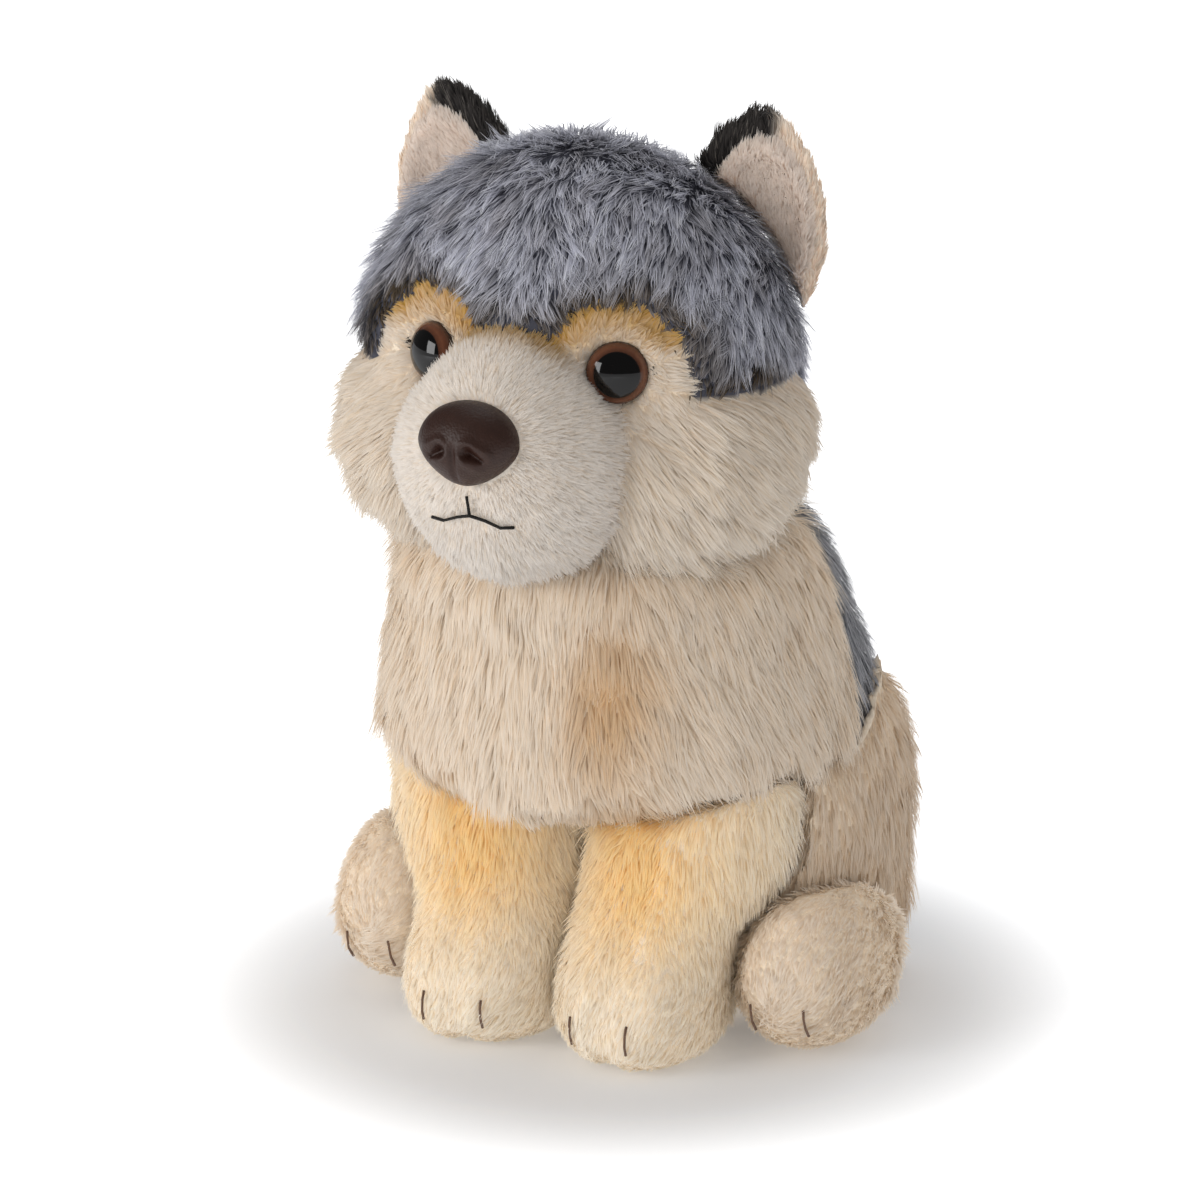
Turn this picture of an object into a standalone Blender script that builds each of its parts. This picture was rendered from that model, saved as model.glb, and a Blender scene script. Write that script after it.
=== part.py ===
"""A sitting plush wolf pup.

Panels of long pile fabric are sewn into hollow skins and filled with loose fibre. The eyes
and the nose are moulded plastic on shanks, held by washers inside. Metres, +Z up. The face
looks along -Y and the wolf's left is +X. The origin is the middle of the flat seat.
"""

import math

import bmesh
import bpy
from mathutils import Matrix, Vector, bvhtree

# Overall places and sizes of the sewn forms, measured over the combed pile
HEAD_WIDTH = 0.114
HEAD_DEPTH = 0.084
HEAD_HEIGHT = 0.110
HEAD_FORWARD = 0.031
HEAD_LEVEL = 0.171
JOWL_FULLNESS = 0.09
CHEEK_FULLNESS = 0.0038
CHEEK_REACH = 0.042
SOCKET_DEPTH = 0.009
SOCKET_REACH = 0.022

MUZZLE_WIDTH = 0.060
MUZZLE_DEPTH = 0.060
MUZZLE_HEIGHT = 0.062
MUZZLE_FORWARD = 0.0625
MUZZLE_LEVEL = 0.1575
MOUTH_PULL = 0.0030
MOUTH_REACH = 0.019
BRIDGE_TAPER = 0.42

EAR_WIDTH = 0.041
EAR_HEIGHT = 0.060
EAR_THICKNESS = 0.016
EAR_SPACING = 0.0765
EAR_FORWARD = 0.017
EAR_LEVEL = 0.203
EAR_TAPER = 0.20
EAR_LEAN = math.radians(10)
EAR_TURN = math.radians(4)

SHOULDER_WIDTH = 0.117
SHOULDER_DEPTH = 0.115
SHOULDER_LEVEL = 0.090
SHOULDER_FORWARD = 0.0085
NECK_WIDTH = 0.080
NECK_DEPTH = 0.076
NECK_LEVEL = 0.139
NECK_FORWARD = 0.018
OVERHANG_LEVEL = 0.066
HEM_RISE = 0.0060
HEM_HEIGHT = 0.012
LOCK_DEPTH = 0.0030
LOCKS = 11
BELLY_WIDTH = 0.086
BELLY_DEPTH = 0.072
BELLY_BACK = 0.011
BACK_FULLNESS = 0.0095
BACK_REACH = 0.056
SEAT_WIDTH = 0.066
SEAT_DEPTH = 0.062

FRONT_LEG_SPACING = 0.0546
FRONT_LEG_WIDTH = 0.0535
FRONT_LEG_DEPTH = 0.048
FRONT_LEG_FORWARD = 0.022
FRONT_PAW_SPACING = 0.040
FRONT_PAW_WIDTH = 0.044
FRONT_PAW_LENGTH = 0.056
FRONT_PAW_FORWARD = 0.035
FRONT_PAW_LEVEL = 0.017
TOE_IN = math.radians(10)
TOE_PUSH = 0.0026
TOE_CREASE = 0.0030

HAUNCH_INSET = 0.0130
HAUNCH_THICKNESS = 0.042
HAUNCH_LENGTH = 0.078
HAUNCH_HEIGHT = 0.098
HAUNCH_BACK = 0.013
HAUNCH_LEAN = math.radians(6)
RUMP_FULLNESS = 0.010
RUMP_REACH = 0.034
REAR_PAW_SPACING = 0.113
REAR_PAW_WIDTH = 0.037
REAR_PAW_LENGTH = 0.056
REAR_PAW_HEIGHT = 0.048
REAR_PAW_FORWARD = 0.012
REAR_PAW_SPLAY = math.radians(6)
REAR_TOE_LEVEL = 0.019
SEAT_SINK = 0.003

TAIL_WIDTH = 0.027
TAIL_LENGTH = 0.080
TAIL_BACK = 0.064

# Fabric: backing and combed pile together, by panel
LONG_PILE = 0.0065
CAP_PILE = 0.0055
LEG_PILE = 0.0045
MUZZLE_PILE = 0.0045
EAR_BACK_PILE = 0.0028
EAR_LINING_PILE = 0.0022

# Seams of the head and the body
BROW_LEVEL = 0.0215
PEAK_LEVEL = 0.0095
PEAK_WIDTH = 0.020
BROW_REACH = 0.043
TEMPLE_LEVEL = 0.001
NAPE_BACK = 0.010
BACK_SEAM = 0.003
SEAT_SEAM = 0.010

# Plastic parts
EYE_DIAMETER = 0.0148
EYE_HEIGHT = 0.0060
EYE_EDGE = 0.0012
EYE_SPACING = 0.0500
EYE_LEVEL = 0.1770
EYE_TURN = math.radians(24)
EYE_TILT = math.radians(4)
EYE_SINK = 0.0038
NOSE_WIDTH = 0.0250
NOSE_HEIGHT = 0.0198
NOSE_DEPTH = 0.0088
NOSE_SINK = 0.0032
NOSE_LEVEL = 0.1645
NOSE_TILT = math.radians(14)
NOSTRIL_WIDTH = 0.0042
SHANK_DIAMETER = 0.0040
SHANK_LENGTH = 0.0120
WASHER_DIAMETER = 0.0140
WASHER_THICKNESS = 0.0016
WASHER_ROOM = 0.0030

# Threads
MOUTH_THREAD = 0.0011
MOUTH_WIDTH = 0.0210
TOE_THREAD = 0.0010
TOE_THREAD_LENGTH = 0.0070
THREAD_POINTS = 4
THREAD_LIFT = 0.0001

# The running gap between pieces that touch, and round the filling inside a skin
GAP = 0.0003
FILLING_GAP = 0.0006

# Points nearer than this are one
WELD = 0.000002

# A distance that is well outside the toy, for blocks and lines that cut right through it
REACH = 0.3

CREAM = (0.80, 0.68, 0.54)
PALE_CREAM = (0.84, 0.76, 0.66)
LEG_CREAM = (0.79, 0.64, 0.45)
GREY = (0.33, 0.34, 0.40)
DARK_GREY = (0.06, 0.065, 0.075)
LINING = (0.82, 0.70, 0.62)
FIBRE = (0.90, 0.90, 0.89)
EYE_BROWN = (0.10, 0.035, 0.018)
NOSE_BROWN = (0.045, 0.022, 0.016)
THREAD_BLACK = (0.015, 0.014, 0.014)
THREAD_BROWN = (0.05, 0.035, 0.025)
WASHER_WHITE = (0.85, 0.85, 0.84)


def clear_scene():
    for old in list(bpy.data.objects):
        bpy.data.objects.remove(old, do_unlink=True)


def material(name, colour, roughness):
    finish = bpy.data.materials.new(name)
    finish.use_nodes = True
    shader = finish.node_tree.nodes["Principled BSDF"]
    shader.inputs["Base Color"].default_value = (*colour, 1.0)
    shader.inputs["Roughness"].default_value = roughness
    shader.inputs["Metallic"].default_value = 0.0
    return finish


def as_object(name, bm):
    """A closed mesh in triangles, so that a form and its grown copies bend along the same lines."""
    bmesh.ops.recalc_face_normals(bm, faces=bm.faces)
    bmesh.ops.triangulate(bm, faces=bm.faces)
    mesh = bpy.data.meshes.new(name)
    bm.to_mesh(mesh)
    bm.free()
    shape = bpy.data.objects.new(name, mesh)
    bpy.context.collection.objects.link(shape)
    return shape


def drop(*shapes):
    for shape in shapes:
        bpy.data.objects.remove(shape, do_unlink=True)


def copy_of(shape, name="form"):
    twin = shape.copy()
    twin.data = shape.data.copy()
    twin.name = name
    bpy.context.collection.objects.link(twin)
    return twin


def reshaped(shape, move):
    """Moves every point of a form by a rule."""
    for point in shape.data.vertices:
        point.co = move(point.co.copy())
    shape.data.update()
    return shape


def oval(width, depth, height, centre, turns=24, rings=12, turn=Matrix.Identity(4)):
    """An egg shape with its poles up and down."""
    bm = bmesh.new()
    size = Matrix.Diagonal((width / 2, depth / 2, height / 2, 1))
    place = Matrix.Translation(centre) @ turn @ size
    bmesh.ops.create_uvsphere(bm, u_segments=turns, v_segments=rings, radius=1, matrix=place)
    return as_object("oval", bm)


def loft(sections, turns):
    """Rounds one ring after another into a closed form.

    A section is (level, middle x, middle y, width, depth, turn).
    """
    bm = bmesh.new()
    before = None
    for level, middle_x, middle_y, width, depth, turn in sections:
        size = Matrix.Diagonal((width / 2, depth / 2, 1, 1))
        place = Matrix.Translation((middle_x, middle_y, level)) @ Matrix.Rotation(turn, 4, "Z") @ size
        ring = bmesh.ops.create_circle(bm, segments=turns, radius=1, matrix=place)["verts"]
        edges = list({edge for point in ring for edge in point.link_edges})
        if before:
            bmesh.ops.bridge_loops(bm, edges=before + edges)
        else:
            bmesh.ops.contextual_create(bm, geom=edges)
        before = [edge for edge in edges if edge.is_valid]
    bmesh.ops.contextual_create(bm, geom=before)
    return as_object("loft", bm)


def bulge(shape, centre, reach, push):
    """Pushes the points near a place, less and less with distance, as stuffing does."""
    centre, push = Vector(centre), Vector(push)

    def move(point):
        near = max(0.0, 1 - ((point - centre).length / reach) ** 2)
        return point + push * near**2

    return reshaped(shape, move)


def rest_on_floor(shape):
    """Flattens what would reach below the surface that the toy sits on."""
    return reshaped(shape, lambda point: Vector((point.x, point.y, max(point.z, 0.0))))


def grown(shape, distance, name="grown"):
    """The same form with its surface moved outwards, or inwards where distance is negative."""
    twin = copy_of(shape, name)
    bm = bmesh.new()
    bm.from_mesh(twin.data)
    bmesh.ops.remove_doubles(bm, verts=bm.verts, dist=WELD)
    bm.normal_update()
    moves = [(point, point.normal * distance * min(point.calc_shell_factor(), 1.6)) for point in bm.verts]
    for point, move in moves:
        point.co += move
    bm.to_mesh(twin.data)
    bm.free()
    return twin


def settle(shape):
    """Applies the modifiers and cleans what a cut leaves along its edge."""
    graph = bpy.context.evaluated_depsgraph_get()
    mesh = bpy.data.meshes.new_from_object(shape.evaluated_get(graph))
    shape.modifiers.clear()
    bm = bmesh.new()
    bm.from_mesh(mesh)
    bmesh.ops.remove_doubles(bm, verts=bm.verts, dist=WELD)
    bmesh.ops.dissolve_degenerate(bm, edges=bm.edges, dist=WELD)
    bm.to_mesh(mesh)
    bm.free()
    shape.data = mesh


def boolean(shape, tool, operation):
    cut = shape.modifiers.new(operation.title(), "BOOLEAN")
    cut.operation = operation
    cut.solver = "EXACT"
    cut.object = tool
    settle(shape)
    return shape


def clear_of(shape, *neighbours, gap=GAP):
    """Cuts a form so that it meets its neighbours with the running gap."""
    for neighbour in neighbours:
        tool = grown(neighbour, gap)
        boolean(shape, tool, "DIFFERENCE")
        drop(tool)
    return keep_main(shape)


def keep_main(shape):
    """Keeps the main body of a cut form, without crumbs that a cut split off."""
    bm = bmesh.new()
    bm.from_mesh(shape.data)
    left = set(bm.faces)
    bodies = []
    while left:
        grow_from = [left.pop()]
        body = set(grow_from)
        while grow_from:
            face = grow_from.pop()
            for edge in face.edges:
                for other in edge.link_faces:
                    if other in left:
                        left.discard(other)
                        body.add(other)
                        grow_from.append(other)
        bodies.append(body)
    bodies.sort(key=lambda body: sum(face.calc_area() for face in body))
    for crumb in bodies[:-1]:
        bmesh.ops.delete(bm, geom=list(crumb), context="FACES")
    bm.to_mesh(shape.data)
    bm.free()
    return shape


def prism(outline, axis, start, end):
    """A closed block with the outline drawn across one axis, for cutting panels."""
    bm = bmesh.new()
    corners = []
    for a, b in outline:
        at = {"x": (start, a, b), "y": (a, start, b), "z": (a, b, start)}[axis]
        corners.append(bm.verts.new(at))
    face = bm.faces.new(corners)
    run = bmesh.ops.extrude_face_region(bm, geom=[face])
    along = {"x": (end - start, 0, 0), "y": (0, end - start, 0), "z": (0, 0, end - start)}[axis]
    moved = [item for item in run["geom"] if isinstance(item, bmesh.types.BMVert)]
    bmesh.ops.translate(bm, verts=moved, vec=along)
    return as_object("prism", bm)


def block(low, high):
    outline = [(low[0], low[1]), (high[0], low[1]), (high[0], high[1]), (low[0], high[1])]
    return prism(outline, "z", low[2], high[2])


def surface_point(shape, start, direction):
    """Where a line from outside first meets a form, and the way its surface faces."""
    bm = bmesh.new()
    bm.from_mesh(shape.data)
    tree = bvhtree.BVHTree.FromBMesh(bm)
    place, normal, _, _ = tree.ray_cast(Vector(start), Vector(direction).normalized())
    bm.free()
    return place, normal


def turned(profile, place, steps=16):
    """A lathe form from a profile of (radius, height), which starts and ends on its axis."""
    bm = bmesh.new()
    points = [bm.verts.new((radius, 0, height)) for radius, height in profile]
    edges = [bm.edges.new(pair) for pair in zip(points, points[1:])]
    bmesh.ops.spin(
        bm,
        geom=points + edges,
        cent=(0, 0, 0),
        axis=(0, 0, 1),
        angle=math.tau,
        steps=steps,
        use_merge=True,
    )
    bmesh.ops.remove_doubles(bm, verts=bm.verts, dist=WELD)
    bmesh.ops.transform(bm, verts=bm.verts, matrix=place)
    return as_object("turned", bm)


def aimed(place, direction):
    """A matrix at a place with its Z axis along a direction."""
    return Matrix.Translation(place) @ Vector(direction).to_track_quat("Z", "Y").to_matrix().to_4x4()


def finished(shape, name, finish):
    """Names a piece, gives it its fabric or plastic and shades it."""
    shape.name = name
    shape.data.name = name
    shape.data.materials.clear()
    shape.data.materials.append(finish)
    shape.data.shade_smooth()
    shape.data.set_sharp_from_angle(angle=math.radians(50))
    return shape


def mirrored(shape, name):
    """The wolf's right piece from its left one."""
    twin = copy_of(shape, name)
    bm = bmesh.new()
    bm.from_mesh(twin.data)
    bmesh.ops.scale(bm, verts=bm.verts, vec=(-1, 1, 1))
    bmesh.ops.reverse_faces(bm, faces=bm.faces)
    bm.to_mesh(twin.data)
    bm.free()
    twin.data.name = name
    return twin


def skin_and_filling(form, pile, *neighbours):
    """A sewn skin, open where it is joined to its neighbours, and the filling inside it."""
    skin = copy_of(form, "skin")
    inside = grown(form, -pile, "inside")
    filling = grown(form, -pile - FILLING_GAP, "filling")
    boolean(skin, inside, "DIFFERENCE")
    drop(inside)
    clear_of(skin, *neighbours)
    clear_of(filling, *neighbours)
    return skin, filling


# Forms: the outer shape of each sewn part, before it is cut where it meets the next


def torso_form():
    over = OVERHANG_LEVEL
    back = -SHOULDER_FORWARD
    sections = [
        (0.000, 0, 0.000, SEAT_WIDTH, SEAT_DEPTH, 0),
        (0.005, 0, 0.002, SEAT_WIDTH + 0.012, SEAT_DEPTH + 0.012, 0),
        (0.018, 0, BELLY_BACK - 0.003, BELLY_WIDTH, BELLY_DEPTH + 0.005, 0),
        (0.040, 0, BELLY_BACK, BELLY_WIDTH + 0.002, BELLY_DEPTH, 0),
        (over - 0.009, 0, BELLY_BACK, BELLY_WIDTH, BELLY_DEPTH, 0),
        (over, 0, back, SHOULDER_WIDTH - 0.010, SHOULDER_DEPTH - 0.010, 0),
        (over + 0.008, 0, back - 0.002, SHOULDER_WIDTH + 0.003, SHOULDER_DEPTH, 0),
        (SHOULDER_LEVEL, 0, back - 0.001, SHOULDER_WIDTH + 0.002, SHOULDER_DEPTH, 0),
        (SHOULDER_LEVEL + 0.022, 0, back - 0.001, SHOULDER_WIDTH - 0.005, SHOULDER_DEPTH - 0.006, 0),
        (NECK_LEVEL - 0.012, 0, back - 0.006, NECK_WIDTH + 0.022, NECK_DEPTH + 0.028, 0),
        (NECK_LEVEL, 0, -NECK_FORWARD, NECK_WIDTH, NECK_DEPTH, 0),
    ]
    shape = loft(sections, 2 * LOCKS)
    for side in (-1, 1):
        hip = (side * 0.36 * SHOULDER_WIDTH, 0.34 * SHOULDER_DEPTH - SHOULDER_FORWARD, OVERHANG_LEVEL)
        bulge(shape, hip, BACK_REACH, (side * 0.5 * BACK_FULLNESS, BACK_FULLNESS, 0))

    def locks(point):
        """The pile of the chest ends in locks, lowest between the legs and higher over them."""
        around = math.atan2(point.x, -point.y)
        near = max(0.0, 1 - abs(point.z - over - 0.002) / HEM_HEIGHT)
        front = max(0.0, math.cos(around)) ** 3
        fall = LOCK_DEPTH * (0.5 * math.cos(LOCKS * around) + front) - HEM_RISE * (1 - front)
        return point - Vector((0, 0, fall * near))

    return reshaped(shape, locks)


def head_form():
    centre = Vector((0, -HEAD_FORWARD, HEAD_LEVEL))
    shape = oval(HEAD_WIDTH, HEAD_DEPTH, HEAD_HEIGHT, centre, 22, 12)

    def jowls(point):
        """Full cheeks below the eyes, before the head turns in to the neck."""
        below = (centre.z - point.z) / (HEAD_HEIGHT / 2)
        full = 1 + JOWL_FULLNESS * math.sin(math.pi * min(max(below, 0.0), 1.0))
        return Vector((point.x * full, centre.y + (point.y - centre.y) * full, point.z))

    reshaped(shape, jowls)
    for side in (-1, 1):
        cheek = centre + Vector((side * 0.42 * HEAD_WIDTH, -0.30 * HEAD_DEPTH, -0.25 * HEAD_HEIGHT))
        bulge(shape, cheek, CHEEK_REACH, (side * CHEEK_FULLNESS, -0.6 * CHEEK_FULLNESS, -CHEEK_FULLNESS))
        socket = Vector((side * EYE_SPACING / 2, -HEAD_FORWARD - 0.45 * HEAD_DEPTH, EYE_LEVEL))
        bulge(shape, socket, SOCKET_REACH, (0, SOCKET_DEPTH, 0))
    return shape


def muzzle_form():
    centre = Vector((0, -MUZZLE_FORWARD, MUZZLE_LEVEL))
    shape = oval(MUZZLE_WIDTH, MUZZLE_DEPTH, MUZZLE_HEIGHT, centre, 18, 10)

    def bridge(point):
        """The snout narrows upwards between the eyes."""
        above = max(0.0, (point.z - centre.z) / (MUZZLE_HEIGHT / 2))
        return Vector((point.x * (1 - BRIDGE_TAPER * above**1.5), point.y, point.z))

    reshaped(shape, bridge)
    mouth = centre + Vector((0, -0.5 * MUZZLE_DEPTH, -0.15 * MUZZLE_HEIGHT))
    return bulge(shape, mouth, MOUTH_REACH, (0, MOUTH_PULL, 0))


def front_leg_form(side):
    leg_x = side * FRONT_LEG_SPACING / 2
    paw_x = side * FRONT_PAW_SPACING / 2
    turn = side * TOE_IN
    low = FRONT_PAW_LEVEL
    width, length, ahead = FRONT_PAW_WIDTH, FRONT_PAW_LENGTH, -FRONT_PAW_FORWARD
    top = OVERHANG_LEVEL + 0.020
    knee_x = (2 * leg_x + paw_x) / 3
    sections = [
        (0.000, paw_x, ahead, width - 0.012, length - 0.012, turn),
        (0.004, paw_x, ahead, width - 0.003, length - 0.003, turn),
        (0.7 * low, paw_x, ahead, width, length, turn),
        (1.3 * low, paw_x, ahead + 0.001, width, length - 0.002, turn),
        (1.9 * low, paw_x + side * 0.001, ahead + 0.005, width, length - 0.010, turn),
        (2.4 * low, knee_x, ahead + 0.010, FRONT_LEG_WIDTH - 0.003, FRONT_LEG_DEPTH - 0.001, turn / 2),
        (3.0 * low, leg_x, -FRONT_LEG_FORWARD, FRONT_LEG_WIDTH, FRONT_LEG_DEPTH, 0),
        (top, leg_x, -FRONT_LEG_FORWARD, FRONT_LEG_WIDTH + 0.001, FRONT_LEG_DEPTH, 0),
    ]
    shape = loft(sections, 16)
    toes(shape, paw_x - side * 0.003, ahead - length / 2, low, width)
    return reshaped(shape, lambda point: Vector((side * max(side * point.x, GAP / 2), point.y, point.z)))


def toes(shape, paw_x, front, level, width):
    """Three rounded toes with a crease on each side of the middle one."""
    for place in (-1, 0, 1):
        centre = (paw_x + place * width / 3, front + abs(place) * 0.006, level)
        bulge(shape, centre, width / 3.2, (place * 0.2 * TOE_PUSH, -TOE_PUSH, 0))
    for place in (-1, 1):
        centre = (paw_x + place * width / 6, front, level + 0.003)
        bulge(shape, centre, width / 5, (0, TOE_CREASE, -0.3 * TOE_CREASE))
    rest_on_floor(shape)


def haunch_form(side):
    lean = Matrix.Rotation(side * HAUNCH_LEAN, 4, "Y")
    haunch_x = side * (SHOULDER_WIDTH / 2 - HAUNCH_INSET)
    centre = (haunch_x, HAUNCH_BACK, HAUNCH_HEIGHT / 2 - SEAT_SINK)
    shape = oval(HAUNCH_THICKNESS, HAUNCH_LENGTH, HAUNCH_HEIGHT, centre, 14, 9, lean)
    rump_x = haunch_x + side * 0.2 * HAUNCH_THICKNESS
    rump = (rump_x, HAUNCH_BACK + 0.32 * HAUNCH_LENGTH, 0.08 * HAUNCH_HEIGHT)
    bulge(shape, rump, RUMP_REACH, (side * 0.4 * RUMP_FULLNESS, RUMP_FULLNESS, -0.4 * RUMP_FULLNESS))
    return rest_on_floor(shape)


def rear_paw_form(side):
    paw_x = side * REAR_PAW_SPACING / 2
    splay = Matrix.Rotation(-side * REAR_PAW_SPLAY, 4, "Z")
    centre = (paw_x, -REAR_PAW_FORWARD, REAR_PAW_HEIGHT / 2 - SEAT_SINK)
    shape = oval(REAR_PAW_WIDTH, REAR_PAW_LENGTH, REAR_PAW_HEIGHT, centre, 14, 8, splay)
    toes(shape, paw_x, -REAR_PAW_FORWARD - REAR_PAW_LENGTH / 2, REAR_TOE_LEVEL, REAR_PAW_WIDTH)
    return shape


def tail_form():
    centre = (0, TAIL_BACK, TAIL_WIDTH / 2 - SEAT_SINK / 3)
    lying = Matrix.Rotation(math.radians(90), 4, "X")
    shape = oval(TAIL_WIDTH, TAIL_WIDTH, TAIL_LENGTH, centre, 12, 8, lying)
    return rest_on_floor(shape)


def ear_forms(side):
    """The ear's outer form and the dish that its lining follows."""
    place = Vector((side * EAR_SPACING / 2, -EAR_FORWARD, EAR_LEVEL))
    lean = Matrix.Rotation(side * EAR_LEAN, 4, "Y")
    turn = Matrix.Rotation(side * EAR_TURN, 4, "Z")

    def shaped(point):
        """Narrows the egg towards a rounded tip."""
        rise = max(0.0, point.z / (EAR_HEIGHT / 2))
        return Vector((point.x * (1 - EAR_TAPER * rise**1.5), point.y * (1 - EAR_TAPER * rise), point.z))

    outer = oval(EAR_WIDTH, EAR_THICKNESS, EAR_HEIGHT, (0, 0, 0), 14, 8)
    dish = oval(
        EAR_WIDTH - 4.2 * EAR_BACK_PILE,
        EAR_THICKNESS * 1.05,
        EAR_HEIGHT - 4.0 * EAR_BACK_PILE,
        (side * 0.8 * EAR_BACK_PILE, -0.55 * EAR_THICKNESS, -0.4 * EAR_BACK_PILE),
        12,
        8,
    )
    whole = Matrix.Translation(place) @ lean @ turn
    for form in (outer, dish):
        reshaped(form, shaped)
        reshaped(form, lambda point: whole @ point)
    return outer, dish


# Pieces, in the order in which they give way to each other


def make_body():
    torso = torso_form()
    shell = copy_of(torso, "shell")
    inside = grown(torso, -LONG_PILE)
    filling = grown(torso, -LONG_PILE - FILLING_GAP, "body_stuffing")
    neck_ring = NECK_LEVEL - LONG_PILE - GAP

    def open_neck(point):
        """Lifts the hollow's top ring right through the neck, where the head is sewn on."""
        lift = LONG_PILE * 3 if point.z > neck_ring else 0
        return point + Vector((0, 0, lift))

    reshaped(inside, open_neck)
    boolean(shell, inside, "DIFFERENCE")
    drop(inside)
    seat_zone = block((-REACH, -REACH, -REACH), (REACH, REACH, SEAT_SEAM))
    above_seat = block((-REACH, -REACH, SEAT_SEAM + GAP), (REACH, REACH, REACH))
    back_zone = block((-REACH, BACK_SEAM + GAP / 2, -REACH), (REACH, REACH, REACH))
    front_zone = block((-REACH, -REACH, -REACH), (REACH, BACK_SEAM - GAP / 2, REACH))
    seat = boolean(copy_of(shell), seat_zone, "INTERSECT")
    upper = boolean(shell, above_seat, "INTERSECT")
    back = boolean(copy_of(upper), back_zone, "INTERSECT")
    chest = boolean(upper, front_zone, "INTERSECT")
    drop(seat_zone, above_seat, back_zone, front_zone)
    finished(seat, "seat_panel", fabric["cream"])
    finished(back, "back_panel", fabric["grey"])
    finished(chest, "chest_panel", fabric["cream"])
    finished(filling, "body_stuffing", fabric["fibre"])
    return torso


def cap_zone():
    """The block that holds the grey cap: brows with a peak between them, temples and nape."""
    brow = HEAD_LEVEL + BROW_LEVEL
    temple = HEAD_LEVEL + TEMPLE_LEVEL
    half = [
        (0.0, HEAD_LEVEL + PEAK_LEVEL),
        (PEAK_WIDTH / 2, HEAD_LEVEL + PEAK_LEVEL + 0.003),
        (PEAK_WIDTH / 2 + 0.006, brow - 0.001),
        (EYE_SPACING / 2 + 0.003, brow),
        (BROW_REACH - 0.006, brow - 0.007),
        (BROW_REACH, temple),
        (REACH, temple),
    ]
    left = [(-x, z) for x, z in reversed(half[1:])]
    outline = left + half + [(REACH, 2 * REACH), (-REACH, 2 * REACH)]
    front = prism(outline, "y", -REACH, REACH)
    nape = [
        (-NAPE_BACK - 0.012, temple + 0.010),
        (-NAPE_BACK, temple - 0.020),
        (-NAPE_BACK, 0.0),
        (REACH, 0.0),
        (REACH, 2 * REACH),
    ]
    rear = prism(nape, "x", -REACH, REACH)
    boolean(front, rear, "UNION")
    drop(rear)
    return front


def make_head(torso):
    head = head_form()
    muzzle = muzzle_form()
    ears = {side: ear_forms(side) for side in (1, -1)}

    muzzle_shell = copy_of(muzzle, "muzzle")
    muzzle_inside = grown(muzzle, -MUZZLE_PILE)
    boolean(muzzle_shell, muzzle_inside, "DIFFERENCE")
    behind = grown(head, -CAP_PILE * 0.5)
    boolean(muzzle_shell, behind, "DIFFERENCE")
    clear_of(muzzle_shell, torso)
    drop(muzzle_inside, behind)

    shell = copy_of(head, "shell")
    inside = grown(head, -CAP_PILE)
    boolean(shell, inside, "DIFFERENCE")
    drop(inside)
    clear_of(shell, muzzle, torso)

    zone = cap_zone()
    wide_zone = grown(zone, GAP)
    cap = keep_main(boolean(copy_of(shell), zone, "INTERSECT"))
    face = boolean(shell, wide_zone, "DIFFERENCE")
    drop(zone, wide_zone)
    left_half = block((GAP / 2, -REACH, 0), (REACH, REACH, REACH))
    face_left = keep_main(boolean(face, left_half, "INTERSECT"))
    drop(left_half)

    filling = grown(head, -CAP_PILE - FILLING_GAP, "head_stuffing")
    snout = grown(muzzle, -MUZZLE_PILE - FILLING_GAP)
    boolean(filling, snout, "UNION")
    drop(snout)
    clear_of(filling, torso)

    finished(cap, "head_cap", fabric["grey"])
    finished(face_left, "face_left", fabric["cream"])
    mirrored(face_left, "face_right")
    finished(muzzle_shell, "muzzle", fabric["pale"])
    finished(filling, "head_stuffing", fabric["fibre"])

    outer, dish = ears[1]
    lining_back = grown(dish, EAR_LINING_PILE)
    seam = grown(dish, EAR_LINING_PILE + GAP)
    back = copy_of(outer, "ear_back_left")
    boolean(back, seam, "DIFFERENCE")
    lining = copy_of(outer, "ear_front_left")
    boolean(lining, lining_back, "INTERSECT")
    boolean(lining, dish, "DIFFERENCE")
    drop(lining_back, seam)
    clear_of(back, head)
    clear_of(lining, head)
    finished(back, "ear_back_left", fabric["dark"])
    finished(lining, "ear_front_left", fabric["lining"])
    mirrored(back, "ear_back_right")
    mirrored(lining, "ear_front_right")
    for pair in ears.values():
        drop(*pair)
    return head, muzzle


def fasten(name, washer_name, stud, place, skins, filling, skin_depth):
    """Sets a plastic part on the skin, with its shank through it and a washer behind."""
    for skin in skins:
        clear_of(bpy.data.objects[skin], stud)
    clear_of(filling, stud)
    top = skin_depth
    bore = SHANK_DIAMETER / 2 + GAP
    rim = WASHER_DIAMETER / 2
    washer_top = -skin_depth - GAP
    washer_low = washer_top - WASHER_THICKNESS
    shank_room = -SHANK_LENGTH - GAP
    hole = turned([(0, top), (bore, top), (bore, shank_room), (0, shank_room)], place, 12)
    washer = turned([(0, washer_low), (rim, washer_low), (rim, washer_top), (0, washer_top)], place, 12)
    pocket_shape = [
        (0, top),
        (rim + GAP, top),
        (rim + GAP, washer_low - GAP),
        (bore, washer_low - GAP),
        (bore, shank_room),
        (0, shank_room),
    ]
    pocket = turned(pocket_shape, place, 12)
    boolean(washer, hole, "DIFFERENCE")
    boolean(filling, pocket, "DIFFERENCE")
    drop(hole, pocket)
    finished(stud, name, fabric[name.split("_")[0]])
    finished(washer, washer_name, fabric["washer"])


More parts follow.
